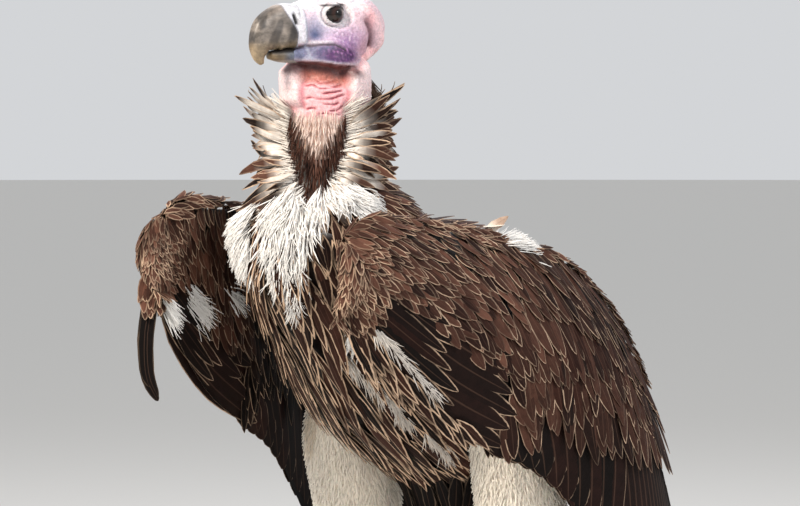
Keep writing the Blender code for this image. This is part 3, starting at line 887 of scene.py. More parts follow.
def leg_parts(label):
    """Shank, foot pad and four toes, whose joints swell and narrow along them."""
    parts = [scuted(tarsus(label), 24, 0.07)]
    x = SIDES[label] * FOOT_SPREAD
    pad = (((x, FOOT_Y + 0.002, 0.034), 0.0135, 0.0135, 0.0135),
           ((x, FOOT_Y, 0.021), 0.0172, 0.0172, 0.0172),
           ((x, FOOT_Y, 0.008), 0.0160, 0.0160, 0.0160),
           ((x, FOOT_Y, 0.003), 0.0120, 0.0120, 0.0120))
    parts.append(closed_grid(loft(pad, 14, 24)))
    for toe, (_, length, radius) in TOES.items():
        root, _, tip = toe_way(label, toe)
        rows = [(root * (1.0 - s) + tip * s - UP * TOE_DROP * (min(1.0, 2.5 * s) - s),
                 radius * fat, radius * fat, radius * min(fat, 0.9))
                for s, fat in ((0.0, 1.02), (0.30, 0.88), (0.46, 1.02), (0.66, 0.82),
                               (0.80, 0.94), (1.0, 0.70))]
        parts.append(scuted(rows, length / 0.0045, 0.10, 60, 16))
    return parts


def ridge_line(points, ends, spread):
    """How near points are to a segment: exp(-(distance / spread)^2)."""
    start, end = np.asarray(ends[0]), np.asarray(ends[1])
    along = end - start
    share = np.clip((points - start) @ along / (along @ along), 0.0, 1.0)
    gap = points - start - share[:, None] * along
    return np.exp(-(gap ** 2).sum(axis=1) / spread ** 2)


def line_strength(points, stops, spread):
    """The strongest ridge_line along a chain of points."""
    strengths = [ridge_line(points, pair, spread) for pair in zip(stops, stops[1:])]
    return np.max(strengths, axis=0)


def eye_height(ahead, above):
    """Height of the eyeball over its centre along the side axis."""
    return np.sqrt(np.maximum(EYE_RADIUS ** 2 - ahead ** 2 - above ** 2, 0.0))


def neck_turn(points):
    """Angle round the neck from the throat, positive to the bird's left, and height."""
    return np.arctan2(points[:, 0], -(points[:, 1] - NECK_Y)) - THROAT_TURN, points[:, 2]


HEAD_VOXEL = 0.0013
CORE_VOXEL = 0.0065
LEG_VOXEL = 0.0015
THROAT_CREASE = 0.0054                # from one crease of the throat to the next

# How far each feature of the head stands out. Those below zero are sunk.
HEAD_RELIEF = {
    "brow": 0.0020, "lore": -0.0022, "cheek": 0.0012, "gape": -0.0018, "jaw": 0.0014,
    "lappet": 0.0044, "ear": -0.0048, "cere": 0.0008, "line": -0.0024, "crease": 0.0010,
    "recess": -0.0100, "fold": -0.0022, "wart": 0.0009,
}


def jaw_floor(forward):
    """Height of the jaw's lower edge in the head, from behind the gape to the chin."""
    return np.interp(forward, (-0.040, -0.028, -0.014, 0.008, 0.026, 0.045),
                     (-0.036, -0.046, -0.0525, -0.0505, -0.0465, -0.0440))


def head_masks(points):
    """How strongly each feature of the head and throat holds at each point, from 0 to 1.

    They are bells and smooth steps in head coordinates, with left folded onto right, and
    on the neck in turn round the throat and height.
    """
    forward, left, rise = in_head(points)
    flat = np.stack((forward, np.abs(left), rise), -1)
    turn, height = neck_turn(points)
    beside = ease(0.010, 0.018, flat[:, 1])
    under_jaw = rise - jaw_floor(forward)
    bags = (ease(0.40, 0.62, -turn) + ease(0.58, 0.80, turn)) * ease(1.95, 1.45, np.abs(turn))
    front = ease(-0.50, -0.36, turn) * ease(0.66, 0.52, turn)
    masks = {
        "neck": ease(0.0015, -0.0015, under_jaw),
        "crown": ease(0.004, 0.018, rise),
        "brow": line_strength(flat, ((0.020, 0.024, 0.0085), (0.004, 0.028, 0.0128),
                                     (-0.014, 0.030, 0.0090)), 0.0050),
        "lore": hill(forward, 0.023, 0.010) * hill(rise, -0.014, 0.012) * beside,
        "cheek": hill(forward, -0.014, 0.016) * hill(rise, -0.036, 0.011) * beside,
        "gape": line_strength(flat[:, ::2], ((0.044, -0.0325), (0.020, -0.0290),
                                             (0.006, -0.0300), (-0.004, -0.0360)), 0.0015),
        "jaw": hill(under_jaw, 0.0018, 0.0026) * ease(-0.034, -0.022, forward),
        "lappet": line_strength(flat, ((-0.032, 0.029, 0.010), (-0.045, 0.028, -0.008),
                                       (-0.054, 0.025, -0.026), (-0.056, 0.022, -0.043)),
                                0.0050),
        "ear": line_strength(flat, ((-0.034, 0.031, -0.008), (-0.039, 0.030, -0.022),
                                    (-0.040, 0.028, -0.038)), 0.0042),
        "cere": ease(0.0285, 0.0310, forward) * ease(-0.030, -0.024, rise),
        "bag": bags * ease(0.792, 0.803, height) * ease(-0.001, -0.010, under_jaw),
        "crease": front * ease(0.782, 0.790, height) * ease(0.826, 0.816, height),
        "recess": ease(-0.72, -0.52, turn) * ease(0.86, 0.62, turn)
        * ease(-0.0005, -0.0030, under_jaw) * ease(-0.026, -0.015, under_jaw),
        "fold": (hill(turn, -0.50, 0.055) + hill(turn, 0.68, 0.055))
        * ease(0.787, 0.795, height) * ease(-0.004, -0.012, under_jaw),
        "shadow": ease(-1.25, -0.85, turn) * ease(1.25, 0.85, turn)
        * ease(0.0012, -0.0004, under_jaw) * ease(-0.016, -0.007, under_jaw),
    }
    sag = 0.0030 * np.cos(turn * 2.6) + 0.0022 * ripple(points, 0.020, 3)
    lines = (0.5 + 0.5 * np.cos((height + sag) * 2.0 * math.pi / THROAT_CREASE)) ** 3
    masks["line"] = masks["crease"] * lines * ease(-0.5, 0.2, ripple(points, 0.013, 4))
    masks["root"] = ease(0.788, 0.776, height)
    masks["wart"] = masks["cheek"] * ease(0.35, 0.9, ripple(points, 0.0052, 6))
    return masks


def head_relief(points, masks):
    """How far the skin is pushed out: each mask times the height of its feature, and a
    crepe of fine wrinkles that is strongest on the crown."""
    push = sum(height * masks[name] for name, height in HEAD_RELIEF.items())
    crepe = ripple(points * np.array((1.0, 1.0, 1.8)), 0.0062, 5)
    return (push + 0.0078 * masks["bag"] ** 0.7
            + 0.00045 * crepe * (1.0 - masks["cere"]) * (0.5 + masks["crown"]))


def fit_lids(points):
    """Draw the skin round each eye to the eyeball's own height plus two folds of lid, and
    inside the lids drop it out of sight. A lid is an oval, flatter above than below."""
    forward, left, rise = in_head(points)
    round_lid = np.hypot(forward * 0.88, rise * np.where(rise > 0.0, 1.25, 1.03))
    near = ease(0.0175, 0.0125, round_lid) * (np.abs(left) > 0.010)
    lid = (0.0006 + 0.0010 * hill(round_lid, LID_OPENING + 0.0014, 0.0012)
           + 0.0012 * hill(round_lid, LID_OPENING + 0.0055, 0.0012)
           - 0.0008 * hill(round_lid, LID_OPENING + 0.0036, 0.0009))
    hole = ease(LID_OPENING + 0.0003, LID_OPENING - 0.0007, round_lid)
    target = EYE_OFFSET + eye_height(forward, rise) + lid - 0.006 * hole
    moved = (target - np.abs(left)) * near * np.sign(left)
    return points + HEAD_SIDE * moved[:, None]


def head_skin():
    """The bare head and throat, melted together, raised into features and fitted to the
    eyes. Gives its vertices, quads and colours."""
    shapes = [closed_grid(loft(HEAD, 48, 56, HEAD_SIDE)),
              closed_grid(loft(JAW, 32, 32, HEAD_SIDE)), closed_grid(loft(THROAT, 40, 48))]
    points, normals, faces = fuse("head_shape", shapes, HEAD_VOXEL, 7)
    masks = head_masks(points)
    points = fit_lids(points + normals * head_relief(points, masks)[:, None])
    return points, faces, head_shades(points, masks)


def head_shades(points, masks):
    """Skin colours by place: pale crown and lids, slate lore and jaw, lilac cheek with pale
    specks, deep purple under it, pink lappets, pale throat bags and a red throat. Under the
    jaw a red-brown recess is partly the skin's own colour and partly painted shade, with a
    painted shadow along the jaw's edge, and the ear hollow is darkened as painted shade."""
    forward, left, rise = in_head(points)
    on_neck = masks["neck"]
    round_eye = np.hypot(forward * 0.9, rise * 1.1)
    beside = ease(0.006, 0.014, np.abs(left))
    speck = ease(-0.1, 0.7, ripple(points, 0.0046, 8))
    mottle = 0.5 + 0.5 * ripple(points, 0.011, 9)
    jaw_zone = ease(-0.029, -0.033, rise) * ease(0.000, 0.012, forward)
    under = rise - jaw_floor(forward)
    lid_line = hill(rise, 0.0088, 0.0013) * ease(-0.015, -0.010, forward)
    return painted(len(points), (
        ("#DDBCC4", np.ones(len(points))),
        ("#E9E4E8", ease(0.000, 0.010, rise) * ease(-0.050, -0.026, forward)),
        ("#C9BFCA", ease(0.006, 0.014, rise) * mottle * 0.8),
        ("#CFC6D8", hill(forward, 0.012, 0.022) * hill(rise, -0.010, 0.018)),
        ("#AE87B6", hill(forward, -0.010, 0.024) * hill(rise, -0.029, 0.014) * 0.95),
        ("#E4CDE2", hill(forward, -0.004, 0.022) * hill(rise, -0.024, 0.012) * speck * 0.8),
        ("#7C82A0", masks["lore"] * 0.7),
        ("#4F5980", hill(forward, 0.022, 0.0070) * hill(rise, -0.0200, 0.0065) * beside),
        ("#5B6080", jaw_zone),
        ("#8E93AB", jaw_zone * mottle * 0.6),
        ("#4A2256", 1.5 * hill(forward, 0.001, 0.0215) * hill(rise, -0.0415, 0.0095)),
        ("#B67DB4", hill(forward, -0.002, 0.0210) * hill(rise, -0.0370, 0.0085) * speck * mottle),
        ("#342A34", masks["gape"] * 0.95),
        ("#CFCAD2", hill(rise, -0.0272, 0.0013) * ease(0.004, 0.012, forward) * 0.8),
        ("#B9AFBA", hill(under, 0.0010, 0.0014) * ease(-0.030, -0.015, forward) * 0.7),
        ("#D5D3DC", masks["cere"]),
        ("#8F95AA", hill(forward, 0.0300, 0.0011) * ease(0.008, 0.000, rise) * beside * 0.6),
        ("#EBC6CA", masks["lappet"] * 1.2),
        ("#C9747F", hill(forward, -0.038, 0.005) * hill(rise, -0.006, 0.014) * 0.4),
        ("#B58A95", hill(forward, -0.030, 0.007) * hill(rise, -0.032, 0.010) * 0.7),
        # painted shade: the ear hollow between cheek and lappet darkened as shade falls in it
        ("#4C1A26", masks["ear"] * ease(-0.002, -0.012, rise)),
        ("#EEE8EA", ease(0.0185, 0.0135, round_eye) * beside),
        ("#B0A2AA", hill(round_eye, LID_OPENING + 0.0036, 0.0010) * beside * 0.8),
        ("#2E2429", hill(round_eye, LID_OPENING - 0.0002, 0.0010) * beside),
        ("#3A2E34", lid_line * ease(0.017, 0.011, forward) * beside),
        ("#E9AEB2", on_neck),
        ("#F3CFD0", on_neck * mottle),
        ("#EFD6D7", on_neck * masks["bag"]),
        ("#EDB3B8", on_neck * masks["crease"]),
        ("#9E2F40", masks["line"] * 1.4),
        ("#C56C78", masks["fold"] * 0.75),
        # painted shade under the jaw: the red-brown recess is partly the skin's own colour and
        # partly shade, and the band along the jaw's edge is painted shadow
        ("#A8604E", masks["recess"] * 0.9),
        ("#451A1E", masks["shadow"] * (0.80 + 0.20 * mottle)),
        ("#D9B8A8", masks["root"]),
    ))


def core_shades(points):
    """Skin colours under the plumage: white under the bib, pale on the thighs, pale in the ruff
    but darkened there as painted shade under its feathers, and dark brown elsewhere."""
    turn, height = neck_turn(points)
    gap = groove_gap(turn, height)
    white = ease(0.664, 0.676, height) * ease(-0.145, -0.175, points[:, 1])
    white = white * ease(0.060, 0.045, np.abs(points[:, 0]))
    ruff = ease(0.690, 0.705, height) * ease(0.0, 0.15, gap)
    ruff = ruff * ease(1.7, 1.2, np.abs(turn))
    groove = ease(0.10, 0.02, gap) * ease(0.686, 0.696, height)
    hip = np.abs(np.abs(points[:, 0]) - HIP_SPREAD) < 0.050
    thighs = hip * ease(0.500, 0.470, height) * (points[:, 1] > -0.05)
    thighs = thighs * ease(0.135, 0.125, points[:, 1])
    shade = np.broadcast_to(DARK_UMBER, points.shape)
    # PEARL * 0.7 in the ruff: pale skin darkened as painted shade under the ruff's feathers
    for tint, share in ((WHITE, white), (PEARL * 0.7, ruff), (DARK_UMBER, groove),
                        (CREAM, thighs)):
        shade = blend(shade, tint, share)
    return shade


def make_skin():
    """One skin for head, neck, body, wings and legs. Where bare is 1 it is pebbled."""
    head, head_faces, head_shade = head_skin()
    core, _, core_faces = fuse("core_shape", core_parts(), CORE_VOXEL, 6)
    parts = [(head, head_faces), (core, core_faces)]
    shades = [head_shade, core_shades(core)]
    for label in SIDES:
        leg, _, faces = fuse("leg_shape_" + label, leg_parts(label), LEG_VOXEL, 2)
        parts.append((leg, faces))
        worn = 0.5 + 0.5 * ripple(leg, 0.012, 11)
        shades.append(blend(linear("#5B5E66"), linear("#8B8A8C"), worn * 0.6))
    points, faces = merge(parts)
    bare = np.concatenate([np.ones(len(part[0])) for part in parts])
    bare[len(head):len(head) + len(core)] = 0.0
    skin = mesh_object("skin", points, faces, floats={"bare": bare},
                       colours={"shade": np.concatenate(shades)})
    nodes = ["head", "neck", "trunk"]
    for label in SIDES:
        nodes += ["wing_%s_%s" % (label, part) for part in ("shoulder", "forearm", "elbow")]
        nodes += ["%s_%s" % (part, label) for part in ("thigh", "tarsus", "foot")]
        nodes += ["toe_%s_%s" % (label, toe) for toe in TOES]
    return finish(skin, SKIN, nodes)


# ------------------------------------------------------------------ horn, eyes and claws

def boxed(rows, along, around, flat, side):
    """A loft with flattened sides: each point's share of its ring's half width is raised to
    the power flat, which is under 1."""
    grid = loft(rows, along, around, side)
    middle = grid[:, :-1].mean(axis=1, keepdims=True)
    reach = grid - middle
    sideways = dot(reach, side)
    widest = np.abs(sideways).max(axis=1, keepdims=True)
    share = np.clip(np.abs(sideways) / widest, 0.0, 1.0)
    return middle + reach + side * (np.sign(sideways) * widest * (share ** flat - share))


def make_bill_upper():
    """Deep hooked horn: a flat-sided loft, pressed in at the nostril, with a wavy
    cutting edge, a groove round the cere and a hollow in its side."""
    rows = head_rows((
        (0.0352, -0.0105, 0.0140, 0.0235, 0.0218),
        (0.0430, -0.0100, 0.0138, 0.0236, 0.0222),
        (0.0520, -0.0108, 0.0130, 0.0230, 0.0220),
        (0.0670, -0.0160, 0.0110, 0.0195, 0.0182),
        (0.0762, -0.0270, 0.0082, 0.0130, 0.0120),
        (0.0780, -0.0385, 0.0050, 0.0072, 0.0070),
        (0.0750, -0.0465, 0.0020, 0.0022, 0.0022),
    ))
    points, faces = closed_grid(boxed(rows, 90, 64, 0.62, HEAD_SIDE))
    forward, left, rise = in_head(points)
    flat = np.stack((forward, np.abs(left), rise), -1)
    nostril = ridge_line(flat, ((0.0418, 0.0135, 0.0005), (0.0398, 0.0138, -0.0070)), 0.0023)
    hollow = hill(rise, -0.008, 0.007) * hill(forward, 0.060, 0.010) * np.sign(left)
    from_cere = forward - 0.0375 - 0.0155 * ease(-0.022, 0.012, rise)
    groove = hill(from_cere, 0.0, 0.0011)
    inward = (-0.0034 * nostril - 0.0006 * groove) * np.sign(left) - 0.0010 * hollow
    edge = ease(-0.022, -0.031, rise) * ease(0.072, 0.060, forward)
    wave = 0.0014 * np.sin((forward - 0.036) * 2.0 * math.pi / 0.034) * edge
    points = points + HEAD_SIDE * inward[:, None] + HEAD_UP * wave[:, None]
    patch = ease(-0.10, 0.45, ripple(points * np.array((1.0, 1.0, 0.6)), 0.017, 21))
    shade = painted(len(points), (
        ("#857B72", np.ones(len(points))),
        ("#45403D", patch * 0.85),
        ("#9C9088", ease(0.000, 0.012, rise) * 0.7),
        ("#A38E74", ease(-0.024, -0.044, rise) * 0.75),
        ("#8F7A58", ease(-0.022, -0.031, rise) * 0.5),
        ("#4A423C", hill(forward, 0.066, 0.004) * ease(-0.040, -0.020, rise) * 0.6),
        ("#2B2728", hill(from_cere, 0.004, 0.006) * hill(rise, -0.012, 0.013) * 0.75),
        ("#D9D8DF", ease(0.0012, -0.0012, from_cere) * 0.95),
        ("#5E6272", groove * 0.5),
        ("#0D0B0C", nostril * 1.9 - 0.40),
    ))
    bill = mesh_object("bill_upper_horn", points, faces, colours={"shade": shade})
    return finish(bill, BILL_HORN, ["bill_upper"])


def make_bill_lower():
    """The lower horn: slate at its root, amber to the tip, and painted black along its top as
    shade under the upper horn.
    """
    rows = head_rows((
        (0.0340, -0.0395, 0.0118, 0.0075, 0.0070),
        (0.0440, -0.0392, 0.0116, 0.0072, 0.0072),
        (0.0540, -0.0392, 0.0094, 0.0060, 0.0066),
        (0.0655, -0.0385, 0.0052, 0.0036, 0.0045),
    ))
    points, faces = closed_grid(boxed(rows, 50, 40, 0.7, HEAD_SIDE))
    forward, _, rise = in_head(points)
    shade = painted(len(points), (
        ("#646A78", np.ones(len(points))),
        ("#6E5F4C", ease(0.046, 0.056, forward)),
        ("#9A8260", ease(0.056, 0.066, forward) * 0.7),
        ("#A49C93", ease(-0.0425, -0.0455, rise) * 0.7),
        # painted shade: the top of the lower horn is black as shade under the upper horn's edge
        ("#15100F", ease(-0.0385, -0.0350, rise)),
    ))
    bill = mesh_object("bill_lower_horn", points, faces, colours={"shade": shade})
    return finish(bill, BILL_HORN, ["bill_lower"])


def make_eye(label):
    """A ball that bulges at its outward pole, with rings of colour round it: pupil, iris
    and dark rim, by the angle from the pole."""
    side = SIDES[label]
    middle = head_point(0.0, side * EYE_OFFSET, 0.0)
    polar, turn = np.meshgrid(np.linspace(0.004, math.pi - 0.004, 48),
                              np.linspace(0.0, 2.0 * math.pi, 65), indexing="ij")
    ball = np.stack((np.cos(polar) * side, np.sin(polar) * np.cos(turn),
                     np.sin(polar) * np.sin(turn)), -1)
    bulge = 1.0 + 0.06 * ease(0.62, 0.20, polar)[..., None]
    grid = middle + EYE_RADIUS * 0.97 * (ball * bulge @ HEAD_TURN.T)
    points, faces = closed_grid(grid, side)
    facing = (points - middle) @ HEAD_SIDE * side / EYE_RADIUS
    angle = np.arccos(np.clip(facing, -1.0, 1.0))
    shade = painted(len(points), (
        ("#040303", np.ones(len(points))),
        ("#1A0D09", ease(0.33, 0.38, angle)),
        ("#301A12", hill(angle, 0.56, 0.14) * 0.8),
        ("#0C0706", ease(0.76, 0.86, angle)),
    ))
    eye = mesh_object("eyeball_" + label, points, faces, colours={"shade": shade})
    return finish(eye, WET_EYE, ["eye_" + label])


def make_claws(label):
    """Each claw is a tapered horn that arches up from its toe and down to the floor."""
    parts = []
    for toe, (_, _, radius) in TOES.items():
        _, along, tip = toe_way(label, toe)
        rows = [(tip + along * CLAW_LENGTH * s + UP * rise, radius * fat * 0.86,
                 radius * fat * 1.10, radius * fat * 1.0)
                for s, rise, fat in ((-0.10, 0.0015, 0.74), (0.12, 0.0042, 0.70),
                                     (0.40, 0.0056, 0.56), (0.68, 0.0030, 0.38),
                                     (0.88, -0.0015, 0.22), (0.99, -0.0050, 0.08))]
        parts.append(closed_grid(loft(rows, 30, 18, np.cross(along, UP))))
    points, faces = merge(parts)
    points[:, 2] = np.maximum(points[:, 2], CLAW_CLEARANCE)
    shade = np.broadcast_to(linear("#2A2724"), points.shape)
    claws = mesh_object("claws_" + label, points, faces, colours={"shade": shade})
    return finish(claws, CLAW_HORN, ["claw_%s_%s" % (label, toe) for toe in TOES])


# ------------------------------------------------------------------ wings

def sloped(degrees, out=0.0, side=1.0):
    """Headings (out, cos, -sin): back and down by an angle below the level, and outwards."""
    angle = np.radians(degrees)
    return np.stack((np.broadcast_to(out * side, angle.shape), np.cos(angle),
                     -np.sin(angle)), -1)


def strip(path, side, half, cell_order):
    """A flat strip along a path, half its width to each side."""
    wide = np.linspace(-half, half, 6)[None, :, None]
    return Surface(path[:, None] + unit(np.asarray(side)) * wide, cell(cell_order))


def remiges(label, rng):
    """Flight feathers on the wing's middle sheet: 24 secondaries, whose tips make its rear
    edge, and 10 primaries, whose tips draw together at its point."""
    sheet = WINGS[label, 0]
    q = np.linspace(0.0, 1.0, 24)
    roots = np.stack((0.30 + 0.42 * q, 0.80 - 0.10 * q), -1)
    tips = np.stack((0.42 + 0.56 * np.minimum(q / 0.86, 1.0),
                     0.015 + 0.9 * ease(0.84, 1.05, q)), -1)
    inner = vanes(sheet, span(roots, tips, 14), 0.040, BLADE, blend(DARK_UMBER, SOOT, q), rng,
                  rise=(0.0, 0.0015), cup=0.10, ragged=0.05, rim=0.12, patch=0.02)
    q = np.linspace(0.0, 1.0, 10)
    roots = np.stack((0.10 + 0.10 * q, 0.30 + 0.25 * q), -1)
    tips = np.stack((0.70 + 0.29 * np.minimum(q / 0.7, 1.0), 0.01 + 0.75 * ease(0.6, 1.1, q)),
                    -1)
    outer = vanes(sheet, span(roots, tips, 20), 0.044, BLADE, SOOT, rng,
                  rise=(-0.001, -0.001), cup=0.06, ragged=0.03, rim=0.0, patch=0.02)
    return [inner, outer]


HAND_SLICES = (0.055, 0.31)           # where the hand's big feathers have the lower front
REAR_SLICES = (0.28, 0.40)            # over which the coverts grow long towards the back


def wing_bed(label, face, rng):
    """Coverts over one face: small at the bend and along the ridge, long over the back.

    The big feathers of the hand have the lower front of each face to themselves. Near
    the ridge the headings lean outwards, so that the feathers run down over it. Those of
    the inner face are darker towards the rear.
    """
    sheet = WINGS[label, face]
    side = SIDES[label]
    roots = rows_of(46, 24, (-0.03, 0.02), (0.72, 0.99 + 0.01 * face), rng, 0.7)
    s, t = roots.T
    rear = ease(*REAR_SLICES, s)
    floor_t = 0.02 + (0.49 - 0.03 * face + 1.7 * np.maximum(s - 0.44, 0.0)) * rear
    hand = (s > HAND_SLICES[0]) & (s < HAND_SLICES[1]) & (t < 0.52 - 0.5 * s)
    keep = (t > floor_t) & ~hand & ((s < 0.55) | (t < 0.78))
    roots, s, t, rear = roots[keep], s[keep], t[keep], rear[keep]
    count = len(s)
    size = 0.026 + 0.014 * ease(1.0, 0.45, t) * ease(0.05, 0.2, s)
    size = size * (1.0 - rear) + (0.064 + 0.026 * ease(0.95, 0.5, t)) * rear
    front = 34.0 + 14.0 * t + 24.0 * ease(0.15, 0.33, s)
    if face < 0:
        front = 55.0 + 22.0 * ease(0.04, 0.12, s)
    angle = front * (1.0 - rear) + (81.0 - 14.0 * ease(0.48, 0.70, s)) * rear
    out = 0.05 + face * 0.8 * ease(0.5, 1.0, t)
    heading = sloped(angle + rng.uniform(-9.0, 9.0, count), out, side)
    length = size * rng.uniform(0.8, 1.25, count)
    pale = rng.random(count) ** 1.1
    pale = pale * (1.0 - 0.55 * rear if face > 0 else ease(0.34, 0.24, s))
    base = blend(DARK_UMBER, SOOT, 0.6 * rear if face > 0 else ease(0.20, 0.30, s))
    shade = blend(base, BARK, pale)
    return vanes(sheet, walk(sheet, roots, heading, length, 7), length * (0.36 - 0.12 * rear),
                 COVERT, shade, rng, rise=(0.0, rng.uniform(0.003, 0.0075, count)),
                 bow=rng.normal(0.0, 0.04, count) * length, rim=rng.uniform(0.1, 1.0, count))


def greater_coverts(label, rng):
    """Two rows of long coverts over the quills. The upper row is shorter and lies on top."""
    sheet = WINGS[label, 1]
    batches = []
    for order, (drop, length, count) in enumerate(((0.0, 0.118, 17), (0.10, 0.098, 18))):
        q = (np.arange(count) + 0.5) / count
        roots = np.stack((0.33 + 0.28 * q, 0.62 + 0.18 * q + drop), -1)
        heading = sloped(73.0 - 11.0 * q + rng.uniform(-3.0, 3.0, count), 0.03, SIDES[label])
        size = length * rng.uniform(0.86, 1.12, count)
        batches.append(vanes(sheet, walk(sheet, roots, heading, size, 9), 0.025, COVERT,
                             blend(DARK_UMBER, UMBER, rng.random(count)), rng,
                             rise=(0.0, 0.004 + 0.0015 * order), cup=0.2, ragged=0.06,
                             rim=0.85, patch=0.006))
    return batches


def hand_feathers(label, face, rng):
    """Big smooth feathers of the hand in two layers, with the lowest one undermost."""
    sheet = WINGS[label, face]
    batches = []
    for count, root_s, tip_s, draw, width, low in ((6, 0.05, 0.365, 0.09, 0.036, 0.0),
                                                   (7, 0.02, 0.245, 0.05, 0.021, 0.0015)):
        q = np.linspace(0.0, 1.0, count)
        roots = np.stack((root_s + 0.05 * q, 0.04 + 0.46 * q), -1)
        tips = np.stack((tip_s - draw * q + rng.normal(0.0, 0.014, count),
                         0.012 + 0.36 * q ** 1.1 + rng.normal(0.0, 0.008, count)), -1)
        tips = np.maximum(tips, 0.012)
        batches.append(vanes(sheet, span(roots, tips, 12),
                             width * rng.uniform(0.85, 1.1, count), BROAD,
                             blend(SOOT, DARK_UMBER, rng.random(count)), rng,
                             rise=(low - 0.0006, low + 0.0010 + 0.0014 * q), cup=0.08,
                             ragged=0.04, bow=-0.008 * SIDES[label] * face,
                             rim=rng.uniform(0.6, 1.0, count), patch=0.01))
    return batches


def elbow_feathers(label, face, rng):
    """Long plain feathers that carry the hand's over to the flight feathers, under both."""
    q = np.linspace(0.0, 1.0, 10)
    roots = np.stack((0.22 + 0.26 * q, 0.26 + 0.30 * q), -1)
    tips = np.stack((0.370 + 0.22 * q, np.full(10, 0.012)), -1)
    return vanes(WINGS[label, face], span(roots, tips, 14), 0.036, BLADE,
                 blend(SOOT, DARK_UMBER, rng.random(10)), rng, rise=(-0.0035, 0.0004), cup=0.05,
                 ragged=0.04, rim=0.35, patch=0.01)


def underwing_tufts(label, rng):
    """White tufts of down that show between the feathers under the hand and forearm."""
    sheet = WINGS[label, -1]
    batches = []
    for s, t, count in ((0.052, 0.07, 150), (0.155, 0.38, 180), (0.236, 0.555, 50)):
        spread = 0.0009 * count ** 0.5
        roots = np.array((s, t)) + rng.normal(0.0, 1.0, (count, 2)) * (spread, 3.0 * spread)
        heading = np.broadcast_to(sloped(62.0), (count, 3))
        batches.append(locks(sheet, roots, heading, rng.uniform(0.018, 0.034, count), 0.0030,
                             WHITE, rng, rng.uniform(0.008, 0.016, count), lean=0.3))
    return batches


def edge_surface(outer, inner, push, label):
    """The rim of a wing as half a tube, from its inner face round to its outer one:
    middle - half * cos(turn), pushed outwards by push * sin(turn)."""
    turn = np.linspace(0.0, math.pi, 9)[None, :, None]
    middle = 0.5 * (outer + inner)[:, None]
    half = 0.5 * (outer - inner)[:, None]
    grid = middle - half * np.cos(turn) + np.array(push) * np.sin(turn)
    return Surface(grid, WINGS[label, 0].cell, facing=-SIDES[label])


def bend_feathers(label, rng):
    """Small feathers with paler tips that hang down the front rim of the wing."""
    sheet = edge_surface(wing_grid(label, 1)[1], wing_grid(label, -1)[1],
                         (0.0, -0.010, 0.0), label)
    roots = rows_of(26, 7, (0.03, -0.05), (1.0, 1.05), rng, 0.8)
    count = len(roots)
    heading = np.array((0.0, 0.25, -1.0)) + rng.normal(0.0, 0.18, (count, 3))
    length = rng.uniform(0.018, 0.028, count)
    return vanes(sheet, walk(sheet, roots, heading, length, 6), rng.uniform(0.006, 0.009, count),
                 COVERT, blend(DARK_UMBER, BARK, rng.random(count)), rng, tip=BUFF * 0.5,
                 fade=(0.7, 1.7), rise=(0.0, 0.004), rim=rng.uniform(0.2, 1.0, count))


def ridge_feathers(label, rng):
    """Small feathers that lie back along the ridge of the folded wing."""
    sheet = edge_surface(wing_grid(label, 1)[1:, -2], wing_grid(label, -1)[1:, -2],
                         (0.0, 0.0, 0.004), label)
    roots = rows_of(36, 6, (0.0, -0.05), (0.62, 1.05), rng, 0.8)
    count = len(roots)
    heading = np.array((0.25 * SIDES[label], 0.8, -0.35)) + rng.normal(0.0, 0.15, (count, 3))
    length = rng.uniform(0.020, 0.030, count)
    return vanes(sheet, walk(sheet, roots, heading, length, 6), length * 0.34, COVERT,
                 blend(DARK_UMBER, BARK, rng.random(count)), rng,
                 rise=(-0.001, rng.uniform(0.002, 0.005, count)),
                 rim=rng.uniform(0.2, 1.0, count))


def make_wing(label):
    """One wing: flight feathers, the coverts of its two faces and the down under it."""
    rng = side_rng(label, 31)
    nodes = ["wing_%s_secondaries" % label, "wing_%s_primaries" % label]
    coat("remiges_" + label, remiges(label, rng), FEATHER, nodes)
    for face, name in ((1, "wing_coverts_"), (-1, "underwing_coverts_")):
        batches = [wing_bed(label, face, rng), *hand_feathers(label, face, rng),
                   elbow_feathers(label, face, rng)]
        if face > 0:
            batches += [*greater_coverts(label, rng), bend_feathers(label, rng),
                        ridge_feathers(label, rng)]
        coat(name + label, batches, FEATHER)
    coat("underwing_down_" + label, underwing_tufts(label, rng), DOWN)


# ------------------------------------------------------------------ body plumage

def lances(surface, roots, heading, length, width, lift, rng, low=-0.002, bow=0.004, steps=8,
           ragged=0.1):
    """Long pointed dark feathers with broad worn margins, as on the breast."""
    count = len(roots)
    shade = blend(SOOT, UMBER, rng.random(count) ** 1.6)
    return vanes(surface, walk(surface, roots, heading, length, steps),
                 rng.uniform(*width, count), LANCE, shade, rng,
                 rise=(low, rng.uniform(*lift, count)), cup=0.2,
                 bow=rng.normal(0.0, bow, count), ragged=ragged, edge=1.3,
                 rim=rng.uniform(0.9, 1.6, count))


def back_feathers(surface, roots, heading, length, rng):
    """Broad brown feathers in rows, with fine worn margins, as on the back."""
    count = len(roots)
    shade = blend(DARK_UMBER, BARK, rng.random(count) ** 1.2)
    return vanes(surface, walk(surface, roots, heading, length, 7), length * 0.30, COVERT,
                 shade, rng, rise=(-0.002, rng.uniform(0.003, 0.007, count)),
                 bow=rng.normal(0.0, 0.002, count), rim=rng.uniform(0.5, 1.0, count))


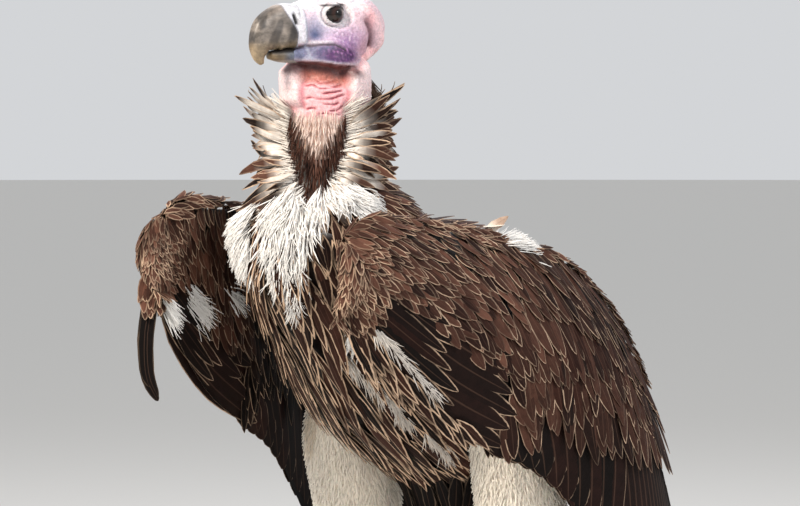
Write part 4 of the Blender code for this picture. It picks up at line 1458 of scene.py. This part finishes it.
def make_breast():
    """Long lance-shaped feathers from the bib to the belly. They hang straight on the
    right side and sweep back under the wing on the left."""
    rng = np.random.default_rng(41)
    roots = rows_of(17, 25, (0.02, 0.47), (0.93, 1.03), rng, 0.8)
    i, j = roots.T
    count = len(i)
    left = BODY_COAT.at(i, j)[:, 0] / 0.10
    sweep = 0.12 + ease(-0.4, 0.5, left) * (0.5 + 1.1 * ease(0.3, 0.7, i))
    heading = np.stack((0.16 * left, sweep, np.full(count, -0.9)), -1)
    heading = heading + rng.normal(0.0, 0.07, heading.shape)
    length = (0.066 + 0.030 * ease(0.05, 0.4, i)) * rng.uniform(0.8, 1.15, count)
    return lances(BODY_COAT, roots, heading, length, (0.0120, 0.0175), (0.003, 0.011), rng,
                  bow=0.005, ragged=0.07)


def make_flank():
    """Flank feathers that lie over the lower front edge of the left wing."""
    rng = np.random.default_rng(58)
    sheet = WINGS["left", 1]
    roots = rows_of(11, 4, (0.0, 0.01), (0.27, 0.15), rng, 0.8)
    s, t = roots.T
    roots = roots[t < 0.16 - 0.4 * s]
    s, t = roots.T
    count = len(s)
    heading = sloped(58.0 - 110.0 * s + rng.normal(0.0, 5.0, count), 0.02)
    length = rng.uniform(0.050, 0.075, count) * (1.0 - 0.5 * s)
    return lances(sheet, roots, heading, length, (0.010, 0.014), (0.006, 0.010), rng, low=0.003)


def make_vent():
    """Dark feathers that hang from the end of the belly, between the thighs."""
    rng = np.random.default_rng(59)
    roots = rows_of(7, 14, (0.80, 0.58), (0.99, 0.94), rng, 0.7)
    count = len(roots)
    heading = np.array((0.0, 0.25, -1.0)) + rng.normal(0.0, 0.08, (count, 3))
    lift = rng.uniform(0.020, 0.045, count)
    return vanes(BODY_COAT, walk(BODY_COAT, roots, heading, rng.uniform(0.05, 0.07, count), 8),
                 0.018, COVERT, SOOT, rng, rise=(-0.002, lift), cup=0.2, rim=0.2)


def make_mantle():
    """Broad feathers of the back, from the neck root to the rump."""
    rng = np.random.default_rng(42)
    roots = rows_of(26, 30, (0.0, 0.0), (0.95, 0.5), rng, 0.7)
    count = len(roots)
    heading = np.array((0.0, 0.62, -0.78)) + rng.normal(0.0, 0.10, (count, 3))
    length = 0.046 + 0.026 * ease(0.1, 0.5, roots[:, 0])
    length = length * rng.uniform(0.8, 1.2, count)
    return back_feathers(BODY_COAT, roots, heading, length, rng)


def make_scapulars(label):
    """Feathers of the shoulder, which lie back and down over the root of the wing."""
    rng = side_rng(label, 43)
    roots = rows_of(13, 22, (0.0, 0.0), (0.95, 1.0), rng, 0.7)
    count = len(roots)
    heading = sloped(np.full(count, 34.0), 0.15, SIDES[label]) + rng.normal(0, 0.1, (count, 3))
    return back_feathers(SHOULDERS[label], roots, heading, rng.uniform(0.040, 0.062, count), rng)


GROOVE_TURN = -0.17                   # the middle of the brown groove under the throat
GROOVE_HALF = 0.64                    # half its width at the top
GROOVE_HEIGHTS = (0.688, 0.775)       # from its point to its full width
BARE_FROM = 0.789                     # height where the bare throat begins
BIB_TOP = 0.718


def groove_gap(turn, height):
    """How far a place on the neck lies outside the brown groove of the throat, in radians:
    the groove narrows downwards to nothing at the white bib."""
    return np.abs(turn - GROOVE_TURN) - GROOVE_HALF * ease(*GROOVE_HEIGHTS, height)


def from_groove(turn, outward):
    """Level headings round the neck, away from the groove to both sides."""
    return np.cross(UP, outward) * np.sign(turn - GROOVE_TURN)[:, None]


def neck_places(rows, columns, low, high, rng):
    """Roots over the neck, their turn from the throat, height and way outwards."""
    roots = rows_of(rows, columns, (low, 0.0), (high, 1.0), rng, 0.9)
    point = NECK_COAT.at(*roots.T)
    turn, height = neck_turn(point)
    turn = (turn + math.pi) % (2.0 * math.pi) - math.pi
    outward = unit((point - np.array((0.0, NECK_Y, 0.0))) * np.array((1.0, 1.0, 0.0)))
    return roots, turn, height, outward


def make_neck():
    """Short feathers lie down the throat groove, paler along its middle, looser ones stand
    off the hind neck, and short pinkish down runs from the bare throat to a point."""
    rng = np.random.default_rng(52)
    roots, turn, height, _ = neck_places(50, 90, -0.02, 0.68, rng)
    behind = ease(1.3, 1.9, np.abs(turn))
    uneven = 0.005 * ripple(NECK_COAT.at(*roots.T), 0.014, 53)
    top = BARE_FROM + uneven
    top = top + 0.045 * ease(1.2, 2.0, turn) + 0.015 * ease(1.6, 2.4, -turn)
    keep = (height < top) & ((groove_gap(turn, height) < 0.15) | (np.abs(turn) > 1.3))
    roots, turn, height, behind = roots[keep], turn[keep], height[keep], behind[keep]
    count = len(roots)
    tongue = np.abs(turn + 0.1) - 0.55 * ease(0.748, 0.785, height)
    pale = ease(0.08, -0.06, tongue) * ease(0.742, 0.752, height)
    middle = hill(turn, -0.12, 0.10) * (1.0 - behind)
    brown = blend(DARK_UMBER, BARK, np.clip(0.6 * rng.random(count) + 0.5 * middle, 0.0, 1.0))
    shade = brown * (1.0 - pale[:, None]) + linear("#DCC8BE") * pale[:, None]
    loose = behind * ease(0.770, 0.800, height)
    heading = -UP + rng.normal(0.0, 0.14, (count, 3))
    length = (0.017 - 0.007 * pale + 0.012 * loose) * rng.uniform(0.8, 1.2, count)
    return vanes(NECK_COAT, walk(NECK_COAT, roots, heading, length, 3),
                 0.0030 - 0.0008 * pale + 0.0020 * loose, SPEAR, shade, rng,
                 rise=(-0.001, rng.uniform(0.002, 0.004, count) + 0.014 * loose), ragged=0.15,
                 rim=0.3 * behind, vary=0.12)


def make_ruff():
    """Feathers that stand out round the neck, cream at the root and brown at the tip. The
    fan turns from upwards at the top to downwards at the shoulders. Those high on the
    right are mostly cream, and the others mostly brown."""
    rng = np.random.default_rng(45)
    roots, turn, height, outward = neck_places(19, 56, 0.02, 0.51, rng)
    behind = ease(1.7, 2.5, np.abs(turn))
    gap = groove_gap(turn, height)
    keep = (gap > 0.18) & (height < BARE_FROM - 0.001 + 0.02 * behind * np.sign(turn))
    roots, turn, height, outward, behind = (
        value[keep] for value in (roots, turn, height, outward, behind))
    count = len(roots)
    climb = 1.6 * np.clip((height - 0.750) / 0.045, -1.3, 1.0) * (1.0 - behind) - 0.7 * behind
    heading = from_groove(turn, outward) * (1.0 - 0.9 * behind)[:, None]
    heading = heading + UP * climb[:, None] + rng.normal(0.0, 0.30, (count, 3))
    size = rng.uniform(0.6, 1.1, count)
    length = (0.016 + 0.016 * np.abs(climb) + 0.008 * behind) * size
    lift = (0.041 - 0.027 * behind - 0.008 * ease(0.5, 0.9, turn) * (1.0 - behind))
    lift = lift * size * rng.uniform(0.75, 1.1, count)
    path = walk(NECK_COAT, roots, heading, length, 7)
    root_shade = blend(UMBER, PEARL, 0.9 - 0.8 * behind)
    tip_shade = blend(SOOT, BARK, rng.random(count) ** 1.5)
    light = ((turn < GROOVE_TURN) & (height > 0.744)) ^ (rng.random(count) < 0.15)
    batches = []
    for chosen, fade in ((light, (0.60, 0.92)), (~light, (0.26, 0.52))):
        some = int(chosen.sum())
        batches.append(vanes(
            NECK_COAT, path[chosen], 0.0110 * size[chosen], COVERT, root_shade[chosen], rng,
            tip=tip_shade[chosen], fade=fade, rise=(0.0, lift[chosen]), power=0.9, cup=0.15,
            ragged=0.18, bow=rng.normal(0.0, 0.008, some), rim=rng.uniform(0.3, 1.1, some)))
    return batches


def locks(surface, roots, heading, length, width, shade, rng, lift, power=1.2, lean=0.35,
          seed=60):
    """Down in thin curved locks of three lengths each, which overlap and wander. They lean
    together in tufts by a slow ripple of that seed."""
    count = len(roots)
    heading = (heading + wander(surface.at(*roots.T), lean, 0.022, seed)
               + rng.normal(0.0, 0.16, (count, 3)))
    return vanes(surface, walk(surface, roots, heading, length, 3), width, LOCK, shade, rng,
                 rise=(-0.003, lift), power=power, ragged=0.2, vary=0.07,
                 bow=rng.normal(0.0, 0.14, count) * length, rim=0.0)


def make_ruff_down():
    """Cream down that lines both lobes of the ruff beside the groove."""
    rng = np.random.default_rng(53)
    roots, turn, height, outward = neck_places(80, 110, 0.0, 0.42, rng)
    gap = groove_gap(turn, height)
    keep = (gap > 0.0) & (gap < 0.40) & (height < BARE_FROM + 0.003)
    roots, turn, height, outward, gap = (
        value[keep] for value in (roots, turn, height, outward, gap))
    count = len(roots)
    climb = 0.9 * np.clip((height - 0.745) / 0.045, -1.2, 1.0)
    heading = from_groove(turn, outward) + UP * climb[:, None]
    length = rng.uniform(0.014, 0.026, count) * (1.0 - 0.8 * gap)
    lift = length * rng.uniform(0.35, 0.80, count)
    shade = blend(WHITE, PEARL, ease(0.70, 0.74, height))
    return locks(NECK_COAT, roots, heading, length, 0.0022, shade, rng, lift, power=1.0,
                 seed=70)


def make_breast_down():
    """Streaks of grey-white down that show between the feathers of breast and flank."""
    rng = np.random.default_rng(54)
    batches = []
    for sheet, stops, amount in (
            (BODY_COAT, ((0.26, 0.850), (0.36, 0.872), (0.42, 0.880)), 160),
            (BODY_COAT, ((0.39, 0.790), (0.50, 0.820), (0.56, 0.830)), 170),
            (BODY_COAT, ((0.62, 0.840), (0.66, 0.846), (0.70, 0.850)), 80),
            (WINGS["left", 1], ((0.09, 0.150), (0.14, 0.120), (0.20, 0.090)), 110)):
        line = smooth(stops, amount)
        way = sheet.at(*(line + np.gradient(line, axis=0)).T) - sheet.at(*line.T)
        spots = line + rng.normal(0.0, 1.0, (amount, 2)) * (0.008, 0.0030)
        batches.append(locks(sheet, spots, unit(way), rng.uniform(0.014, 0.024, amount),
                             0.0026, PEARL * 0.85, rng, rng.uniform(0.008, 0.012, amount),
                             lean=0.25, seed=95))
    return batches


def make_loose_feathers():
    """Ruffled feathers behind the left shoulder: brown ones that hang with curled tips, and
    a pale one that sticks up, broad side to the front."""
    rng = np.random.default_rng(57)
    sheet = SHOULDERS["left"]
    roots = np.array(((0.545, 0.215), (0.70, 0.13), (0.74, 0.10)))
    heading = np.array(((0.60, 0.50, 0.40), (0.2, 0.55, -0.75), (0.2, 0.50, -0.80)))
    length = np.array((0.020, 0.044, 0.038))
    ruffled = vanes(sheet, walk(sheet, roots, heading, length, 7), 0.011, LANCE,
                    np.array((CREAM, BARK, UMBER)), rng, bow=np.array((0.0, -0.008, -0.006)),
                    rise=(0.003, np.array((0.016, 0.014, 0.012))), rim=0.5)
    start = sheet.at(np.array(0.575), np.array(0.20))
    way = np.linspace(-0.006, 0.028, 16)[:, None] * unit(np.array((0.66, 0.46, 0.60)))
    blade = strip(start + way, (-0.49, -0.34, 0.80), 0.008, 15)
    raised = vanes(blade, span(np.array(((0.0, 0.5),)), np.array(((1.0, 0.45),)), 9), 0.012,
                   PLUME, CREAM * 0.8, rng, tip=BUFF * 0.7, rise=(0.0, 0.0), cup=0.3, rim=0.5)
    return [ruffled, raised]


def bib_floor(j):
    """Where the white of the bib ends along its coat: strands hang low in front, a notch
    parts them from the right lobe, and the edge climbs to both shoulders."""
    strands = 0.26 * hill(j, 0.225, 0.035)
    notch = 0.16 * hill(j, 0.300, 0.018)
    return 0.40 - strands + notch + 0.26 * ease(0.225, 0.115, j) + 0.25 * ease(0.44, 0.60, j)


def make_collar_feathers():
    """Brown feathers on the collar below the white, in line with those of the breast."""
    rng = np.random.default_rng(55)
    roots = rows_of(8, 28, (0.26, -0.16), (0.80, 0.64), rng, 0.7)
    i, j = roots.T
    roots = roots[i < bib_floor(j) - 0.02]
    count = len(roots)
    x = BIB_COAT.at(*roots.T)[:, :1]
    heading = ACROSS * x * 5.0 - UP + np.array((0.0, 0.15, 0.0))
    return lances(BIB_COAT, roots, heading, rng.uniform(0.036, 0.052, count),
                  (0.0110, 0.0150), (0.001, 0.006), rng, low=-0.001, steps=7)


def make_bib():
    """White down that hangs in loose locks over the front of the neck root, with a small
    dark gap on the right. On that side it stops short of the ruff."""
    rng = np.random.default_rng(46)
    roots = rows_of(96, 100, (0.14, -0.14), (1.00, 0.62), rng, 0.9)
    i, j = roots.T
    turn, height = neck_turn(BIB_COAT.at(i, j))
    top = BIB_TOP - 0.020 * ease(-0.40, -0.80, turn) + 0.003 * rng.normal(size=len(i))
    gap = np.hypot((i - 0.53) / 0.13, (j - 0.305) / 0.021) < 1.0
    keep = (i > bib_floor(j) + 0.03 * rng.normal(size=len(i))) & (height < top) & ~gap
    keep &= (groove_gap(turn, height) > 0.0) | (height < 0.69)
    roots = roots[keep]
    count = len(roots)
    x = BIB_COAT.at(*roots.T)[:, :1]
    heading = ACROSS * (x - 0.01) * 7.0 - UP + np.array((0.0, -0.05, 0.0))
    length = rng.uniform(0.016, 0.028, count)
    return locks(BIB_COAT, roots, heading, length, 0.0029, WHITE, rng,
                 rng.uniform(0.003, 0.014, count), lean=0.45, seed=80)


def make_shoulder_down():
    """A patch of white down laid bare behind the left shoulder."""
    rng = np.random.default_rng(56)
    count = 260
    roots = np.array((0.690, 0.185)) + rng.normal(0.0, 1.0, (count, 2)) * (0.040, 0.022)
    heading = np.broadcast_to((0.3, 0.8, -0.25), (count, 3))
    return locks(SHOULDERS["left"], roots, heading, rng.uniform(0.014, 0.024, count), 0.0026,
                 WHITE, rng, rng.uniform(0.012, 0.021, count), lean=0.4, seed=97)


def make_trousers(label):
    """Short cream down over the thighs, lying down and back, with faint yellow stains."""
    rng = side_rng(label, 47)
    sheet = TROUSERS[label]
    roots = rows_of(84, 74, (0.02, 0.0), (0.99, 1.0), rng, 0.9)
    count = len(roots)
    heading = np.broadcast_to((0.0, 0.10, -1.0), (count, 3))
    length = rng.uniform(0.010, 0.016, count)
    stain = ease(0.35, 0.9, ripple(sheet.at(*roots.T), 0.06, 51))
    shade = blend(CREAM, linear("#C4A983"), stain * 0.45)
    return locks(sheet, roots, heading, length, 0.0032, shade, rng,
                 rng.uniform(0.0010, 0.0028, count), lean=0.3)


def tail_surface():
    """A flat fan from the tail's root to its tip: half width grows along it."""
    s = np.linspace(0.0, 1.0, 30)[:, None]
    w = np.linspace(-1.0, 1.0, 16)[None]
    over = np.cross(ACROSS, unit(TAIL_TIP - TAIL_ROOT))
    centre = TAIL_ROOT + (TAIL_TIP - TAIL_ROOT) * s[..., None]
    wide = (0.046 + 0.022 * s) * w
    bow = -0.006 * w ** 2 - 0.004 * s
    return centre + ACROSS * wide[..., None] + over * bow[..., None]


def make_tail():
    """Twelve stiff quills, the middle ones uppermost, and coverts over and under their
    roots."""
    rng = np.random.default_rng(49)
    sheet = Surface(tail_surface(), cell(13), facing=-1.0)
    count = 12
    w = np.linspace(0.06, 0.94, count)
    w = w[np.argsort(-np.abs(w - 0.5))]
    level = np.abs(2.0 * w - 1.0)
    roots = np.stack((np.full(count, -0.02), 0.5 + (w - 0.5) * 0.5), -1)
    tips = np.stack((0.99 - 0.10 * level ** 2, w), -1)
    batches = [vanes(sheet, span(roots, tips, 14), 0.034, BLADE, SOOT, rng,
                     rise=(0.003 - 0.003 * level, 0.003 - 0.004 * level), cup=0.08,
                     ragged=0.05, rim=0.1, patch=0.02)]
    roots = rows_of(5, 9, (-0.05, 0.1), (0.30, 0.9), rng)
    count = len(roots)
    heading = unit(TAIL_TIP - TAIL_ROOT) + rng.normal(0.0, 0.05, (count, 3))
    path = walk(sheet, roots, heading, rng.uniform(0.07, 0.10, count), 7)
    for face, shade in ((1.0, UMBER), (-1.0, BARK)):
        batches.append(vanes(Surface(sheet.grid, sheet.cell, -face), path, 0.026, ROUND, shade,
                             rng, rise=(0.004, 0.008), cup=0.3, rim=0.4))
    return batches


def make_alula():
    """The right thumb feathers hang free at the wing's bend, their tips curled in, and
    small brown coverts hide their roots."""
    rng = np.random.default_rng(50)
    top = np.array((-0.134, -0.262, 0.606))
    drop = np.array(((0.0, 0.0, 0.02), (0.0, 0.0, 0.0), (-0.003, -0.006, -0.040),
                     (-0.001, -0.006, -0.080), (0.009, 0.000, -0.106)))
    sheet = strip(smooth(top + drop, 20), (0.82, 0.57, 0.0), 0.010, 14)
    roots = np.array(((0.0, 0.35), (0.0, 0.6), (0.05, 0.5)))
    tips = np.array(((0.99, 0.50), (0.93, 0.62), (0.84, 0.45)))
    blades = vanes(sheet, span(roots, tips, 14), 0.013, BLADE, SOOT, rng,
                   rise=(np.array((0.0, 0.001, 0.002)), 0.001), cup=0.2, ragged=0.06, rim=0.15,
                   patch=0.02)
    roots = rows_of(4, 4, (-0.05, 0.05), (0.28, 0.95), rng, 0.7)
    count = len(roots)
    heading = -UP + rng.normal(0.0, 0.2, (count, 3))
    batches = [blades]
    for face in (1.0, -1.0):
        side = Surface(sheet.grid, sheet.cell, facing=face)
        path = walk(side, roots, heading, rng.uniform(0.020, 0.028, count), 6)
        batches.append(vanes(side, path, 0.010, COVERT, blend(DARK_UMBER, BARK, rng.random(count)),
                             rng, rise=(0.003, 0.006), rim=rng.uniform(0.3, 1.0, count)))
    return batches


# ------------------------------------------------------------------ stage and camera

CAMERA_TURN = math.radians(35.0)
CAMERA_TILT = math.radians(2.0)
CAMERA_DISTANCE = 3.2
VIEW_WIDTH = 0.80                     # what the camera sees across, at the bird
SENSOR = 36.0
NECK_ROOT = np.array((0.0, -0.160, 0.686))
AIM_RIGHT = 0.080                     # the middle of the view, from the neck's root
AIM_DOWN = 0.038
LIGHTS_AIM = 0.5 * UP
FLOOR_LEVEL = -0.0005
FLOOR_SIDES = 64


def look_at(made, middle, turn, tilt, distance):
    """Stand a camera or lamp off from a middle point and face it there. It stands at turn
    from the bird's front towards its left, and at tilt above the level."""
    out = np.array((math.sin(turn) * math.cos(tilt), -math.cos(turn) * math.cos(tilt),
                    math.sin(tilt)))
    made.location = middle + out * distance
    made.rotation_euler = (math.radians(90.0) - tilt, 0.0, turn)
    bpy.context.scene.collection.objects.link(made)


def make_camera():
    """A long lens a few metres off, so that the bird's shape is hardly drawn in."""
    right = np.array((math.cos(CAMERA_TURN), math.sin(CAMERA_TURN), 0.0))
    lens = bpy.data.cameras.new("camera")
    lens.sensor_width = SENSOR
    lens.lens = SENSOR * CAMERA_DISTANCE / VIEW_WIDTH
    camera = bpy.data.objects.new("camera", lens)
    look_at(camera, NECK_ROOT + STANCE + right * AIM_RIGHT - UP * AIM_DOWN, CAMERA_TURN,
            CAMERA_TILT, CAMERA_DISTANCE)
    bpy.context.scene.camera = camera


def add_light(name, turn, height, distance, size, power, colour="#FFFFFF"):
    """A square soft light that faces the middle of the bird. Angles are in degrees."""
    lamp = bpy.data.lights.new(name, "AREA")
    lamp.shape = "SQUARE"
    lamp.size = size
    lamp.energy = power
    lamp.color = linear(colour)
    look_at(bpy.data.objects.new(name, lamp), LIGHTS_AIM, math.radians(turn),
            math.radians(height), distance)


def make_stage():
    """A round pale floor out to the horizon, a pale sky and soft lights from all round."""
    reach = np.concatenate((np.linspace(0.01, 2.0, 8), np.geomspace(3.0, 60.0, 10)))[:, None]
    turn = np.linspace(0.0, 2.0 * math.pi, FLOOR_SIDES + 1)[None, :-1]
    grid = np.stack((reach * np.cos(turn), reach * np.sin(turn),
                     np.full((len(reach), FLOOR_SIDES), FLOOR_LEVEL)), -1)
    floor = mesh_object("floor", grid.reshape(-1, 3), strip_faces(len(reach), FLOOR_SIDES))
    floor.data.materials.append(floor_material())
    world = bpy.data.worlds.new("studio")
    world.use_nodes = True
    background = world.node_tree.nodes["Background"]
    background.inputs["Color"].default_value = rgba("#E9EBEE")
    background.inputs["Strength"].default_value = 0.80
    bpy.context.scene.world = world
    bpy.context.scene.view_settings.view_transform = "Standard"
    add_light("key", -12.0, 40.0, 3.2, 0.7, 100.0, "#FFF4E6")
    add_light("side", 80.0, 30.0, 3.4, 0.9, 42.0)
    add_light("back", -150.0, 45.0, 3.6, 1.8, 35.0, "#F2F6FF")


# ------------------------------------------------------------------ the bird

make_camera()
make_stage()
make_skin()
make_bill_upper()
make_bill_lower()
for side_name in SIDES:
    make_eye(side_name)
    make_claws(side_name)
    make_wing(side_name)
    coat("trouser_down_" + side_name, [make_trousers(side_name)], DOWN)
coat("body_feathers", [make_breast(), make_flank(), make_vent(), make_mantle(),
                       make_collar_feathers()], FEATHER)
coat("scapulars", [make_scapulars("left"), make_scapulars("right"), *make_loose_feathers()],
     FEATHER)
coat("ruff_feathers", make_ruff(), FEATHER, ["ruff"])
coat("neck_feathers", [make_neck()], FEATHER)
coat("ruff_down", [make_ruff_down()], DOWN)
coat("bib_down", [make_bib()], DOWN, ["collar"])
coat("breast_down", [*make_breast_down(), make_shoulder_down()], DOWN)
coat("tail_feathers", make_tail(), FEATHER, ["tail"])
coat("alula_feathers", make_alula(), FEATHER, ["wing_right_alula"])
